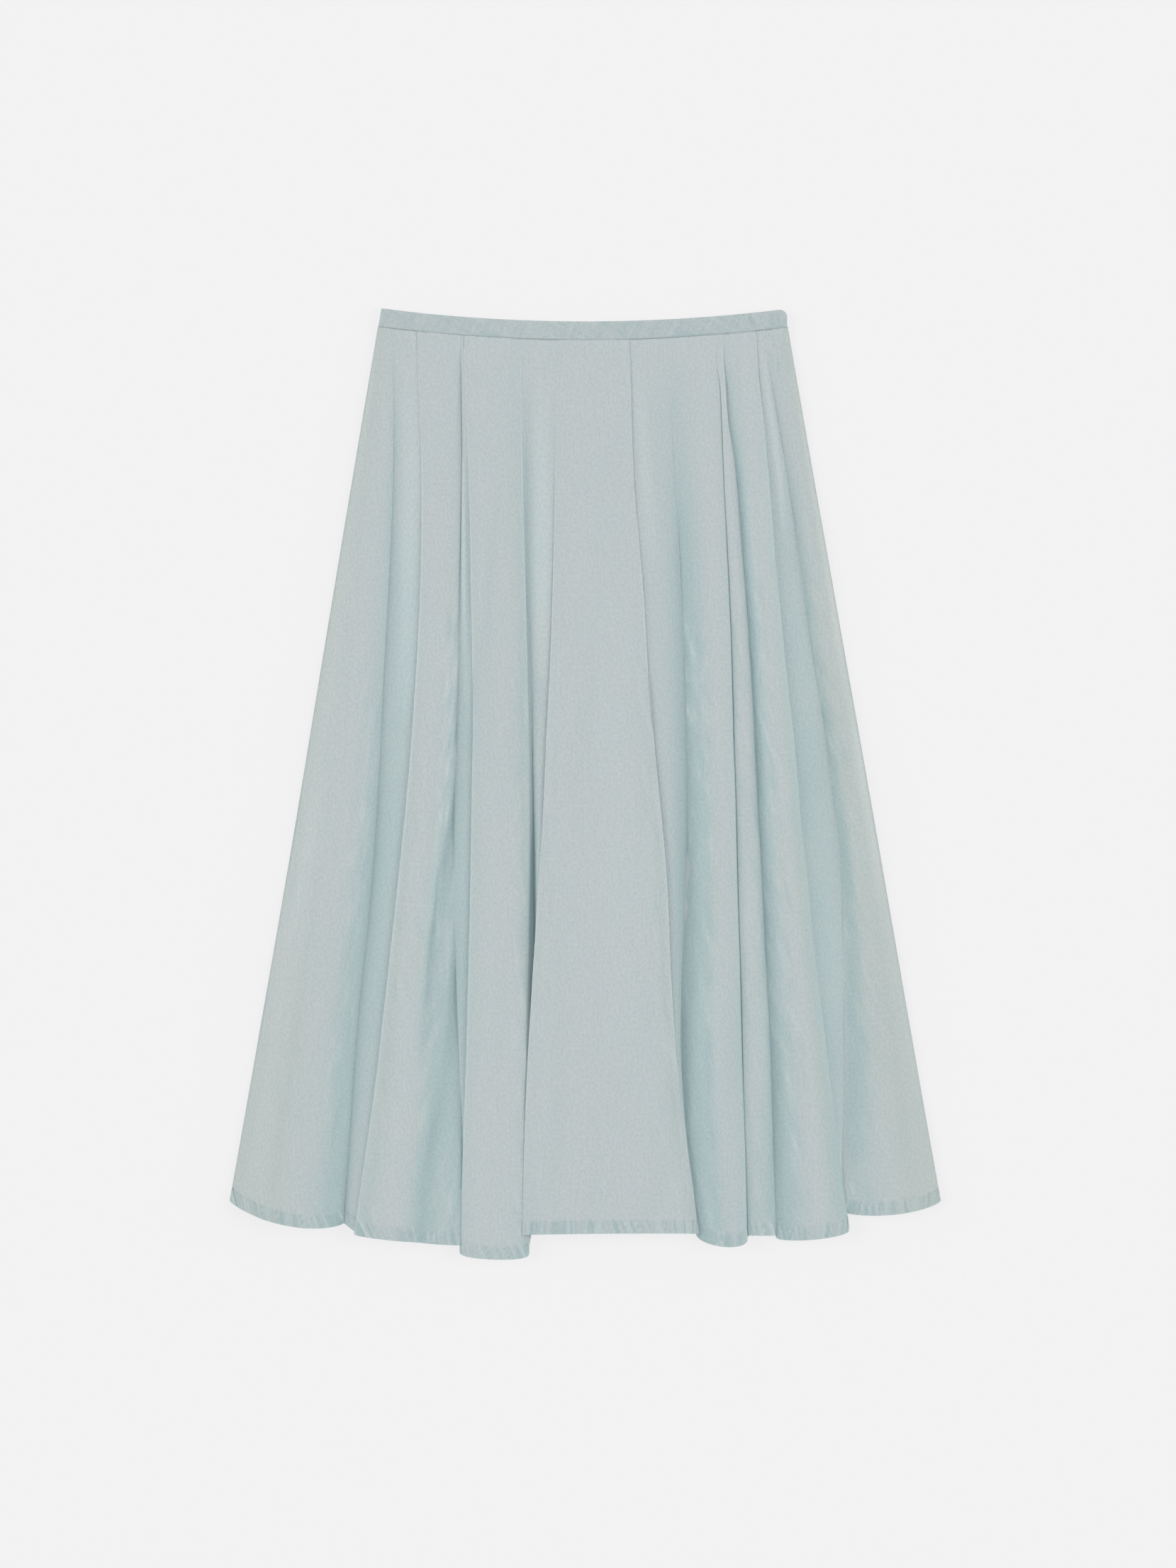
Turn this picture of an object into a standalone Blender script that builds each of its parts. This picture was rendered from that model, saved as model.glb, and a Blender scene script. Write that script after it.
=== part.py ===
"""A flared midi skirt of light cotton, laid flat on its back.

The front panel lies on the back panel. Soft unpressed folds start at the waistband and open
towards the hem. X runs across the skirt, the hem points to -Y and the front faces +Z.
The design sizes are in millimetres: x from the middle of the waist, down from the middle of the
waist seam towards the hem, and height above the surface that the skirt lies on.
"""

from collections import namedtuple

import bpy
import numpy as np

MM = 0.001

# Sizes of the cloth
CLOTH = 1.2
SEAM_GAP = 0.3
HEM_TURN = 11.0
HEM_EXTRA = 0.5

# Waist
WAIST_HALF = 175.0
WAIST_DIP = 11.0

# Waistband
BAND_HEIGHT = 15.3
BAND_CLOTH = 2.2
BACK_BAND_CLOTH = 1.8
BAND_SLANT = 0.17
BAND_LEFT = -178.0
BAND_RIGHT = 173.5
BAND_CORNER = 7.0
BAND_CORNER_ANGLES = (22, 45, 68, 90)
BAND_SLANT_REACH = 40.0
BAND_SOFTNESS = 0.5

# Back panel, hidden under the front
BACK_INSET = 1.0
BACK_SIDE_LENGTH = 737.0
BACK_MIDDLE_DROP = 25.0
BACK_RISE = 0.3
BACK_RISE_START = 0.25

# Height of the middle of the front's wall where it rests on the back
FRONT_REST = CLOTH + SEAM_GAP + CLOTH / 2

# A valley under an edge that hangs over it turns up from its floor by this angle in degrees,
# reached where the edge hangs this far over
STEEPEST_FLOOR = 60.0
FULL_OVERHANG = 5.0

# Fineness of the walls
CROWN_STEPS = 7
WALL_STEPS = 4
FRONT_ROWS = 27
BACK_ROWS = 15
BACK_STEPS = 44
BAND_STEPS = 30

# A crease runs from the waist seam (0) to the hem (1).
# across: its x at each of ACROSS_AT. height: its height above FRONT_REST at each of HEIGHT_AT.
# hem: how far down its lower end is. A bottom is the floor of a valley and an edge is the
# shoulder of a fold, which may hang over the valley beside it.
ACROSS_AT = (0.0, 0.15, 0.35, 0.6, 0.8, 1.0)
HEIGHT_AT = (0.0, 0.35, 0.65, 1.0)
Crease = namedtuple("Crease", "name kind across height hem")
CREASES = (
    Crease("left side", "side", (-178, -197, -223, -255, -280, -305.5), (0.9, 0, 0, 0.7), 740),
    Crease("first valley", "bottom", (-166, -165, -174, -185, -198, -207), (0.9, 0.4, 0.2, 0.9), 759),
    Crease("first shoulder", "edge", (-145, -143, -146, -163, -181, -201), (1.2, 2, 4, 5.5), 764),
    Crease("second valley", "bottom", (-109, -107, -109, -104, -101, -99), (0.9, 0.3, 0.2, 0.9), 778),
    Crease("second shoulder", "edge", (-107, -103, -98, -99, -102, -107), (1.2, 3.5, 6, 8), 783),
    Crease("left pleat foot", "edge", (-54, -51, -48, -47, -48, -49), (1, 3.0, 4, 2.0), 786),
    Crease("left pleat valley", "bottom", (-43, -43, -44, -43.5, -42.5, -42), (0.9, 1, 0.4, 0.9), 784.5),
    Crease("left pleat edge", "edge", (-24, -25, -31, -41.5, -50.5, -55), (1, 4.2, 9.5, 11), 770),
    Crease("right pleat edge", "edge", (38, 42.5, 54.5, 71, 82.5, 97.5), (1, 3.5, 8, 11), 769),
    Crease("right pleat valley", "bottom", (70, 76, 83.5, 86, 86, 87), (0.9, 0.8, 0.1, 0.8), 770.5),
    Crease("third valley", "step", (115, 119, 127, 131, 135.5, 141.5), (1.2, 3.5, 5.5, 6), 769),
    Crease("fourth valley", "bottom", (119, 131, 142, 152, 160, 166.5), (0.9, 0.3, 0, 0.8), 770),
    Crease("right shoulder", "edge", (148, 158.5, 173, 193, 208, 227.5), (1, 3, 5.5, 8), 764),
    Crease("last valley", "bottom", (152, 172.5, 194, 214, 221, 219), (0.9, 0.6, 0.4, 0.9), 751),
    Crease("right side", "side", (174, 193.5, 220, 253, 279, 305.5), (0.9, 0, 0, 0.7), 740),
)

# A crown is the raised cloth from one crease to the next.
# lift: how high it rises over the line between them, at each of HEIGHT_AT.
# left and right: 1 rises straight up from its crease, 2 rises softly.
# sag: how much lower the hem hangs at its middle.
Crown = namedtuple("Crown", "lift left right sag")
CROWNS = {
    "left side": Crown((0.2, 3, 6, 12), 1.4, 2.0, 11),
    "first shoulder": Crown((0.2, 2.5, 6, 11), 1.0, 4.0, 3.7),
    "second shoulder": Crown((0.3, 2.5, 5, 7), 1.0, 1.8, 5.5),
    "left pleat edge": Crown((0.4, 3, 5, 6), 0.8, 0.8, -1.8),
    "right pleat valley": Crown((0.2, 3, 5.5, 6.5), 4.0, 1.0, 7.3),
    "third valley": Crown((0.1, 1.2, 2.5, 3), 1.0, 1.6, 0),
    "fourth valley": Crown((0.2, 3, 6, 8), 2.0, 1.0, 5),
    "last valley": Crown((0.2, 2.5, 4, 6), 4.0, 1.4, 6.4),
}

# Colours of the cloth and the smoothness of its faces
CLOTH_COLOUR = (0.50, 0.565, 0.578, 1.0)
BAND_COLOUR = (0.475, 0.545, 0.56, 1.0)
CLOTH_ROUGHNESS = 0.9


def clear_scene():
    """Remove every object of the opened scene."""
    for old in list(bpy.data.objects):
        bpy.data.objects.remove(old, do_unlink=True)


def smooth(stations, values, t):
    """Value at t of the cubic through the stations, with slopes from their neighbours."""
    stations = np.asarray(stations, dtype=float)
    values = np.asarray(values, dtype=float)
    slopes = np.gradient(values, stations)
    k = np.clip(np.searchsorted(stations, t, side="right") - 1, 0, len(stations) - 2)
    span = stations[k + 1] - stations[k]
    u = (t - stations[k]) / span
    return (
        (2 * u**3 - 3 * u**2 + 1) * values[k]
        + (u**3 - 2 * u**2 + u) * span * slopes[k]
        + (3 * u**2 - 2 * u**3) * values[k + 1]
        + (u**3 - u**2) * span * slopes[k + 1]
    )


def mix(start, end, share):
    """Value at a share of the way from start to end."""
    return start + (end - start) * share


def seam_down(x):
    """How far down the waist seam is at x: its ends are higher than its middle."""
    return -WAIST_DIP * (x / WAIST_HALF) ** 2


def crease_line(crease, t):
    """The crease's x, height and total way down to the hem, for each t."""
    x = smooth(ACROSS_AT, crease.across, t)
    z = FRONT_REST + smooth(HEIGHT_AT, crease.height, t)
    return x, z, np.full_like(t, float(crease.hem))


def crown_points(start, end, crown, t, steps):
    """Arch from one crease to the next: an ellipse's side where the power is 1."""
    a = np.linspace(0, 1, steps + 1)[None, :]
    share = (1 - np.cos(np.pi * a)) / 2
    power = mix(crown.left, crown.right, share)
    round_over = np.clip(np.sin(np.pi * a), 0, 1)
    lift = smooth(HEIGHT_AT, crown.lift, t)[:, None]
    x = mix(start[0][:, None], end[0][:, None], share)
    z = mix(start[1][:, None], end[1][:, None], share) + lift * round_over**power
    hem = mix(start[2][:, None], end[2][:, None], share) + crown.sag * round_over
    return x, z, hem


def wall_points(start, end, rising, steps):
    """Steep cloth between a valley's floor, where it lies level, and an edge, where it stands."""
    a = np.linspace(0, 1, steps + 1)[None, :]
    x0, z0, hem0 = (value[:, None] for value in start)
    x1, z1, hem1 = (value[:, None] for value in end)
    chord = np.hypot(x1 - x0, z1 - z0)
    upright = np.minimum(chord, 1.5 * np.abs(z1 - z0))
    overhang = x0 - x1
    turn = np.radians(STEEPEST_FLOOR) * np.clip(overhang / FULL_OVERHANG, 0, 1)
    across = chord * np.cos(turn)
    along_floor = chord * np.sin(turn)
    leave = (across, along_floor) if rising else (0, -upright)
    arrive = (0, upright) if rising else (across, -along_floor)
    from_start = 2 * a**3 - 3 * a**2 + 1
    to_end = 3 * a**2 - 2 * a**3
    along_leave = a**3 - 2 * a**2 + a
    along_arrive = a**3 - a**2
    x = from_start * x0 + to_end * x1 + along_leave * leave[0] + along_arrive * arrive[0]
    z = from_start * z0 + to_end * z1 + along_leave * leave[1] + along_arrive * arrive[1]
    return x, z, mix(hem0, hem1, a)


def front_middle(t, crown_steps=CROWN_STEPS, wall_steps=WALL_STEPS):
    """Points of the front panel's middle surface, a row for each t and a column across."""
    blocks = []
    for crease, following in zip(CREASES[:-1], CREASES[1:]):
        start = crease_line(crease, t)
        end = crease_line(following, t)
        if crease.name in CROWNS:
            block = crown_points(start, end, CROWNS[crease.name], t, crown_steps)
        else:
            block = wall_points(start, end, crease.kind == "bottom", wall_steps)
        first = 0 if not blocks else 1
        blocks.append([value[:, first:] for value in block])
    x = np.concatenate([block[0] for block in blocks], axis=1)
    z = np.concatenate([block[1] for block in blocks], axis=1)
    hem = np.concatenate([block[2] for block in blocks], axis=1)
    top = seam_down(x[:1, :]) + SEAM_GAP / 2
    return np.stack([x, -mix(top, hem, t[:, None]), z], axis=-1)


def rise_under_crowns(x, t):
    """How far the back's cloth stands up inside the folds of the front, below its flat top."""
    rise = np.zeros_like(x)
    opened = np.clip((t - BACK_RISE_START) / (1 - BACK_RISE_START), 0, 1)[:, None]
    for crease, following in zip(CREASES[:-1], CREASES[1:]):
        if crease.name in CROWNS:
            left = smooth(ACROSS_AT, crease.across, t)[:, None]
            right = smooth(ACROSS_AT, following.across, t)[:, None]
            lift = smooth(HEIGHT_AT, CROWNS[crease.name].lift, t)[:, None]
            share = np.clip((x - left) / (right - left), 0, 1)
            rise += BACK_RISE * lift * np.sin(np.pi * share) ** 2 * opened
    return rise


def back_middle(t, steps=BACK_STEPS):
    """Points of the back panel's middle surface, which rests on the ground between its folds."""
    share = np.linspace(0, 1, steps + 1)[None, :]
    left = smooth(ACROSS_AT, CREASES[0].across, t)[:, None] + BACK_INSET
    right = smooth(ACROSS_AT, CREASES[-1].across, t)[:, None] - BACK_INSET
    x = mix(left, right, share)
    hem = BACK_SIDE_LENGTH + BACK_MIDDLE_DROP * (1 - (2 * share - 1) ** 2)
    top = seam_down(x[:1, :]) + SEAM_GAP / 2
    z = CLOTH / 2 + rise_under_crowns(x, t)
    return np.stack([x, -mix(top, hem, t[:, None]), z], axis=-1)


def directions(points, axis):
    """Unit direction of the surface along a grid axis, halfway between its two neighbours'."""
    step = np.diff(points, axis=axis)
    step /= np.maximum(np.linalg.norm(step, axis=-1, keepdims=True), 1e-9)
    first = np.take(step, [0], axis=axis)
    last = np.take(step, [-1], axis=axis)
    before = np.concatenate([first, step], axis=axis)
    after = np.concatenate([step, last], axis=axis)
    both = before + after
    return both / np.maximum(np.linalg.norm(both, axis=-1, keepdims=True), 1e-9)


def normals(points):
    """Unit normals of a grid whose rows run down and whose columns run right: they face up."""
    across = directions(points, 1)
    down = directions(points, 0)
    normal = np.cross(down, across)
    return normal / np.linalg.norm(normal, axis=-1, keepdims=True)


def wall_faces(rows, columns):
    """Faces of a closed wall: the upper grid, the lower grid and the rim between them."""
    upper = np.arange(rows * columns).reshape(rows, columns)
    lower = upper + rows * columns
    faces = []
    for grid, turned in ((upper, False), (lower, True)):
        quads = np.stack([grid[:-1, :-1], grid[1:, :-1], grid[1:, 1:], grid[:-1, 1:]], axis=-1)
        quads = quads.reshape(-1, 4)
        faces.extend((quads[:, ::-1] if turned else quads).tolist())
    ring = np.concatenate([upper[0, :-1], upper[:-1, -1], upper[-1, :0:-1], upper[:0:-1, 0]])
    below = ring + rows * columns
    rim = np.stack([ring, np.roll(ring, -1), np.roll(below, -1), below], axis=-1)
    faces.extend(rim.tolist())
    return faces


def add_object(name, points, faces, colour, parent):
    """One named piece of cloth with its own material, placed under the skirt's empty."""
    mesh = bpy.data.meshes.new(name)
    mesh.from_pydata((points.reshape(-1, 3) * MM).tolist(), [], faces)
    mesh.update()
    mesh.shade_smooth()
    mesh.set_sharp_from_angle(angle=np.radians(50))
    material = bpy.data.materials.new(name + "_cloth")
    material.use_nodes = True
    shader = material.node_tree.nodes["Principled BSDF"]
    shader.inputs["Base Color"].default_value = colour
    shader.inputs["Roughness"].default_value = CLOTH_ROUGHNESS
    shader.inputs["Metallic"].default_value = 0.0
    mesh.materials.append(material)
    piece = bpy.data.objects.new(name, mesh)
    bpy.context.scene.collection.objects.link(piece)
    piece.parent = parent
    return piece


def rows_to_hem(count, length):
    """Shares down the panel, with a row at the top of the turned hem."""
    turn = 1 - HEM_TURN / length
    return np.concatenate([np.linspace(0, turn, count - 2), [turn + 0.004, 1.0]])


def add_panel(name, middle, t, turn_rows, colour, parent):
    """A wall of cloth on its middle surface, thicker in the turned hem."""
    normal = normals(middle)
    thicker = np.zeros(len(t))
    thicker[-turn_rows:] = HEM_EXTRA
    upper = middle + normal * (CLOTH / 2 + thicker)[:, None, None]
    lower = middle - normal * CLOTH / 2
    points = np.concatenate([upper, lower])
    faces = wall_faces(middle.shape[0], middle.shape[1])
    return add_object(name, points, faces, colour, parent)


def band_outline(x):
    """Top and bottom of the band at x, as distances down: its right corner is rounded off."""
    bottom = seam_down(x) - SEAM_GAP / 2
    into_corner = np.clip(x - (BAND_RIGHT - BAND_CORNER), 0, BAND_CORNER)
    cut = BAND_CORNER - np.sqrt(BAND_CORNER**2 - into_corner**2)
    return bottom - BAND_HEIGHT + cut, bottom


def add_band(name, low, thick, inset, colour, parent):
    """A strip round half the waist: a rectangle with softened corners, swept along the seam."""
    corner_x = BAND_RIGHT - BAND_CORNER
    x = np.concatenate([
        np.linspace(BAND_LEFT + inset, corner_x, BAND_STEPS),
        corner_x + (BAND_CORNER - inset) * np.sin(np.radians(BAND_CORNER_ANGLES)),
    ])
    top, bottom = band_outline(x)
    soft = BAND_SOFTNESS
    high = low + thick
    section = (
        (top + soft, high), (top, high - soft), (top, low + soft), (top + soft, low),
        (bottom - soft, low), (bottom, low + soft), (bottom, high - soft), (bottom - soft, high),
    )
    near_left_end = np.clip(1 - (x - BAND_LEFT) / BAND_SLANT_REACH, 0, 1)
    lines = []
    for down, up in section:
        slant = BAND_SLANT * (bottom - down) * near_left_end
        lines.append(np.stack([x + slant, -down, np.full_like(x, up)], axis=-1))
    corners = len(section)
    count = len(x)
    faces = []
    for i in range(corners):
        j = (i + 1) % corners
        for k in range(count - 1):
            faces.append((i * count + k, i * count + k + 1, j * count + k + 1, j * count + k))
    faces.append([i * count for i in range(corners)])
    faces.append([i * count + count - 1 for i in reversed(range(corners))])
    return add_object(name, np.stack(lines), faces, colour, parent)


def stand_on_centre(parent, pieces):
    """Move the empty so that the skirt's box is centred over the origin and stands on it."""
    corners = np.array([vertex.co[:] for piece in pieces for vertex in piece.data.vertices])
    low = corners.min(axis=0)
    high = corners.max(axis=0)
    parent.location = (-(low[0] + high[0]) / 2, -(low[1] + high[1]) / 2, -low[2])


def main():
    clear_scene()
    skirt = bpy.data.objects.new("skirt", None)
    bpy.context.scene.collection.objects.link(skirt)
    front_rows = rows_to_hem(FRONT_ROWS, CREASES[4].hem)
    back_rows = rows_to_hem(BACK_ROWS, BACK_SIDE_LENGTH)
    pieces = [
        add_panel("skirt_front", front_middle(front_rows), front_rows, 2, CLOTH_COLOUR, skirt),
        add_panel("skirt_back", back_middle(back_rows), back_rows, 2, CLOTH_COLOUR, skirt),
        add_band("waistband_front", FRONT_REST, BAND_CLOTH, 0.0, BAND_COLOUR, skirt),
        add_band("waistband_back", 0.0, BACK_BAND_CLOTH, 0.6, BAND_COLOUR, skirt),
    ]
    stand_on_centre(skirt, pieces)


main()
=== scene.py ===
"""A flared midi skirt of pale blue-grey cotton, laid flat on its back.

Shapes are worked out in millimetres: x across from the middle of the waist, down from the middle
of the waist seam towards the hem, and height above the surface that the skirt lies on. A grid of
points holds x, minus down, and height. Its rows run down the panel and its columns to the right.
"""

from collections import namedtuple

import bpy
import numpy as np
from bpy.props import FloatProperty, FloatVectorProperty, IntProperty, PointerProperty
from bpy.types import Operator, Panel, PropertyGroup
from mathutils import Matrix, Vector


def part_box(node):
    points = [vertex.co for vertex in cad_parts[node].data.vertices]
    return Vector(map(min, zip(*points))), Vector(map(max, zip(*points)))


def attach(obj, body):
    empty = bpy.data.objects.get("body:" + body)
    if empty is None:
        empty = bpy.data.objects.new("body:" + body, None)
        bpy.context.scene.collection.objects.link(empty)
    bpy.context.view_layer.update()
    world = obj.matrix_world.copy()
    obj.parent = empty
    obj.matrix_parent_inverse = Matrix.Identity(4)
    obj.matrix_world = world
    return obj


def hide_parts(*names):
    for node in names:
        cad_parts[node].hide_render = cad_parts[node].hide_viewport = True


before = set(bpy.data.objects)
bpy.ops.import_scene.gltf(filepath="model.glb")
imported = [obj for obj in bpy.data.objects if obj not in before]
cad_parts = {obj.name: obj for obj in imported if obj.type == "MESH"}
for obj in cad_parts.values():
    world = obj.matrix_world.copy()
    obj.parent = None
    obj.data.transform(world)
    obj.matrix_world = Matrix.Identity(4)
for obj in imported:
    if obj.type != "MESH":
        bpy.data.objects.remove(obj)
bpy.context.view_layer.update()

bl_info = {
    "name": "Flared midi skirt",
    "version": (1, 0, 0),
    "blender": (4, 5, 0),
    "location": "View3D > Sidebar > Skirt",
    "description": "Builds a flared cotton skirt laid flat, with its soft folds and a plain stage",
    "category": "Add Mesh",
}

MM = 0.001
TINY = 1e-9

# Waist seam: half its width, how far its middle lies below its ends, and the gap between the
# solids of the band and the panel
WAIST_HALF = 175.0
WAIST_DIP = 11.0
SEAM_GAP = 0.3

# Waistband: its height and ends, the radius of its right corner, and the slant of its left end,
# which fades out over BAND_SLANT_REACH
BAND_HEIGHT = 15.3
BAND_LEFT = -178.0
BAND_RIGHT = 173.5
BAND_CORNER = 7.0
BAND_SLANT = 0.17
BAND_SLANT_REACH = 40.0
# How far in from BAND_LEFT it starts, how far it overlaps the panel, how much wider the strip
# is when it is opened flat, and how much shorter the back half is
BAND_INSET = 0.3
BAND_OVERLAP = 0.4
BACK_BAND_SHORTER = 0.6
# Columns along it, columns in its right corner and where they start in degrees, points around
# it, and the power that squares its section
BAND_COLUMNS = 250
BAND_CORNER_COLUMNS = 14
BAND_CORNER_START = 6
BAND_AROUND = 44
BAND_SQUARENESS = 0.5
# Ripple by its lower seam: size, reach, stretch along it and start
BAND_RIPPLE = 0.12
BAND_RIPPLE_REACH = 6.0
BAND_RIPPLE_STRETCH = 0.35
BAND_RIPPLE_START = 40
# How far each end rolls under, and over what length
BAND_ROLL_RIGHT = 1.1
BAND_ROLL_RIGHT_LENGTH = 11
BAND_ROLL_LEFT = 0.5
BAND_ROLL_LEFT_LENGTH = 4
# Its marks: how doubled it is everywhere, how much painted shade it has everywhere, and the height
# of crease at which the painted highlight on its ridges and the painted shade in its hollows are
# full
BAND_DOUBLED = 0.6
BAND_PAINTED_SHADE = 0.12
BAND_RELIEF = 0.9
# Mottling of the band: strength, stretch along it, slant with the way down, and seed
BAND_MOTTLES = ((0.35, 1.0, 0.5, 23), (0.4, 0.6, -1.1, 29))
# Painted shadow along its lower seam, where the band stands over the panel: middle and half width
# of each place, how dark it is there, and how far up
BAND_SEAM_SHADOW = ((-78.0, 16.0), (92.0, 20.0), (165.0, 6.0))
BAND_SEAM_SHADOW_SIZE = 0.8
BAND_SEAM_SHADOW_REACH = 2.2

# Heights of the panels' middle surfaces
FRONT_REST = 2.1
BACK_REST = 0.4

# Back panel: how far inside the front it ends, its length at the sides and how much longer its
# middle is, and the share of the front's folds that it rises by, from this share of its length
BACK_INSET = 1.0
BACK_SIDE_LENGTH = 737.0
BACK_MIDDLE_DROP = 25.0
BACK_RISE = 0.3
BACK_RISE_START = 0.25
# Its unevenness as a share of the front's, its ripple along the hem, and its lifted side edges
BACK_UNEVEN = 0.5
BACK_HEM_RIPPLE = 0.12
BACK_HEM_REACH = 5.0
BACK_SIDE_LIFT = 0.5

# A wall leaves the floor of its valley at most at STEEPEST_FLOOR degrees. The upright part below
# its edge is UPRIGHT_RISE of its height where its two creases meet, and EDGE_UPRIGHT where they
# are WALL_APART or more from each other. Its tuck is full only there, and the cloth drops by
# TUCK_DROP of it. TUCK_BUMP is the top of the tuck's bump. EDGE_GATHER draws the columns towards
# the edge.
STEEPEST_FLOOR = 60.0
UPRIGHT_RISE = 1.5
EDGE_UPRIGHT = 2.0
WALL_APART = 6
TUCK_DROP = 0.35
TUCK_POWER = 8
TUCK_BUMP = 0.0433
EDGE_GATHER = 1.6

# Fineness: the width of a column at the hem, the fewest pairs of them in a fold, the columns of
# a wall, the shares of the length with finer rows at the waist and at the hem, and the number of
# rows in each part. The hidden side of the cloth has only one row and column in a few. Faces
# that meet at more than SHARP_DEGREES aren't shaded as one.
COLUMN_SPACING = 1.2
FEWEST_PAIRS = 6
WALL_STEPS = 18
TOP_SHARE = 0.03
HEM_SHARE = 0.03
TOP_ROWS = 16
BODY_ROWS = 100
HEM_ROWS = 25
INNER_ROW_STEP = 5
INNER_COLUMN_STEP = 3
SHARP_DEGREES = 60

# Turned hem: where its upper edge starts and is full, from the stitches, and how much thicker
# the cloth is there
HEM_STEP = (-0.6, 0.2)
HEM_THICKER = 0.9
# Its ripple, and how far above the stitches it fades out. It slants by HEM_SLANT sideways for
# each millimetre up, and by up to HEM_SLANT_CHANGE more or less: a sine of the way along the
# hem divided by HEM_SLANT_PACE.
HEM_RIPPLE = 0.32
HEM_FADE = 5
HEM_SLANT = 0.12
HEM_SLANT_CHANGE = 0.24
HEM_SLANT_PACE = 23.0
# Ripple below the waist seam: size, reach down and stretch along it
WAIST_RIPPLE = 0.16
WAIST_REACH = 16.0
WAIST_STRETCH = 0.8
# Groove along the stitches, and how far the side edges and the waist edge bend down
GROOVE = 0.28
GROOVE_REACH = 0.9
SIDE_BEND = 0.9
SIDE_REACH = 3.0
SEAM_BEND = 0.8
SEAM_REACH = 1.6
# The share of the puckers, ripples, groove and unevenness that walls keep
WALL_RELIEF = 0.35

# Broad rise and fall of laid cloth: number of waves, their lengths across and down, and how far
# down they have grown to their size
WAVES = 8
WAVES_WIDE = (38, 110)
WAVES_LONG = (150, 460)
WAVES_START = 200

# Ripple of a sewn edge: its wave lengths, how many of them it takes to grow and fade and to
# stretch, how strongly it stretches, the length that counts fully, and the sum that counts as 1
RIPPLE_LENGTHS = (3.9, 4.7, 5.9, 8.3, 12.7)
RIPPLE_GROWTH = 5.3
RIPPLE_STRETCH = 3.1
RIPPLE_STRETCH_SIZE = 0.45
RIPPLE_FULL_LENGTH = 4
RIPPLE_SUM = 1.7

# A stitch: where its rings are along it, how full each is, how many corners a ring has, how much
# of its radius it stands above the cloth, the gap to the next one, and its radius
STITCH_RINGS = (0.0, 0.15, 0.5, 0.85, 1.0)
STITCH_FULLNESS = (0.3, 0.85, 1.0, 0.85, 0.3)
STITCH_CORNERS = 6
STITCH_RISE = 0.35
STITCH_GAP = 0.5
STITCH_RADIUS = 0.16

# Painted shade: cloth that lies below higher cloth up to PAINTED_SHADE_COLUMNS grid columns away
# gets a darker, bluer colour that stands in for the shade in the valleys. The higher cloth counts as
# PAINTED_SHADE_FALL lower at that distance, and the painted shade is full at PAINTED_SHADE_DEPTH. On
# the outer slopes of the side folds it fades out between the two shares of PAINTED_SHADE_INWARD.
# What the walls have lost of it is evened out over PAINTED_SHADE_EVEN_COLUMNS.
PAINTED_SHADE_COLUMNS = 36
PAINTED_SHADE_FALL = 5.0
PAINTED_SHADE_DEPTH = 4.8
PAINTED_SHADE_INWARD = (0.35, 0.8)
PAINTED_SHADE_EVEN_COLUMNS = 8

# Cloth gets the full painted highlight where puckers lift it by PUCKER_RELIEF or wrinkles by
# RIDGE_RELIEF, and painted shade where they sink it. HEM_CONTRAST is how strongly the hem's ripple
# is painted so, and ABOVE_HEM its share above the hem.
PUCKER_RELIEF = 1.05
RIDGE_RELIEF = 2.6
HEM_CONTRAST = 1.0
ABOVE_HEM = 0.25

# Yellower and darker cloth on the side folds, the darkening being painted shade: its strength, where
# down the panel it starts and is full, and where it starts and is full outwards. At the side edges
# it is painted shade with its own strength and reach, and it fades out down the panel between the
# two shares of YELLOWER_SHADE_EDGE_END.
YELLOWER_SHADE_LEFT = (0.5, (0.50, 0.80), (0.72, 0.95))
YELLOWER_SHADE_RIGHT = (0.6, (0.10, 0.45), (0.80, 0.95))
YELLOWER_SHADE_EDGE = 0.7
YELLOWER_SHADE_EDGE_REACH = 12.0
YELLOWER_SHADE_EDGE_END = (0.55, 0.85)

# Seeds of the random draws
SEEDS = {"creases": 100, "puckers": 300, "waves": 7, "hem": 11, "waist": 12, "back hem": 15,
         "band": 21}

# Patterns of the thread on the flat cloth: size across and down in millimetres, detail, and the
# noise at which each starts and is full
Pattern = namedtuple("Pattern", "across down detail low high")
PATCHES = Pattern(30, 70, 3, 0.35, 0.65)
SLUBS = Pattern(1.6, 24, 2, 0.40, 0.68)
FLECKS = Pattern(1.9, 2.7, 3, 0.40, 0.64)
CROSS_THREADS = Pattern(9, 1.3, 2, 0.4, 0.7)
PATCH_CONTRAST = 0.6
# Unevenness of the threads, the strength and depth in metres of the two bumps, and the gloss
THREAD_DISTORTION = 0.6
THREAD_DETAIL_SCALE = 0.4
WEAVE_BUMP = (0.5, 0.00006)
FLECK_BUMP = (0.6, 0.00015)
COTTON_SPECULAR = 0.2
SHEEN_ROUGHNESS = 0.5
# How light the thread of the hem and the cotton of the band are beside that of the panels
THREAD_TINT = 1.04
BAND_TINT = 0.975

# Stage, in metres: half the floor's width and how far it lies below the skirt, the middle of the
# picture, the height that fills it and the camera's sensor in millimetres
FLOOR_HALF = 20.0
FLOOR_BELOW = 0.0004
PICTURE_MIDDLE = (0.0025, -0.0005)
FOCUS_HEIGHT = 8 * MM
SENSOR = 36
SKY_COLOUR = (0.78, 1.02, 1.06)
# Side lights: colour, softness in degrees, how far they stand towards the waist, and how far
# away
SUN_COLOUR = (1.0, 0.93, 0.87)
SUN_SOFTNESS = 34
SUN_LEAN = 0.08
SUN_DISTANCE = 3

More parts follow.
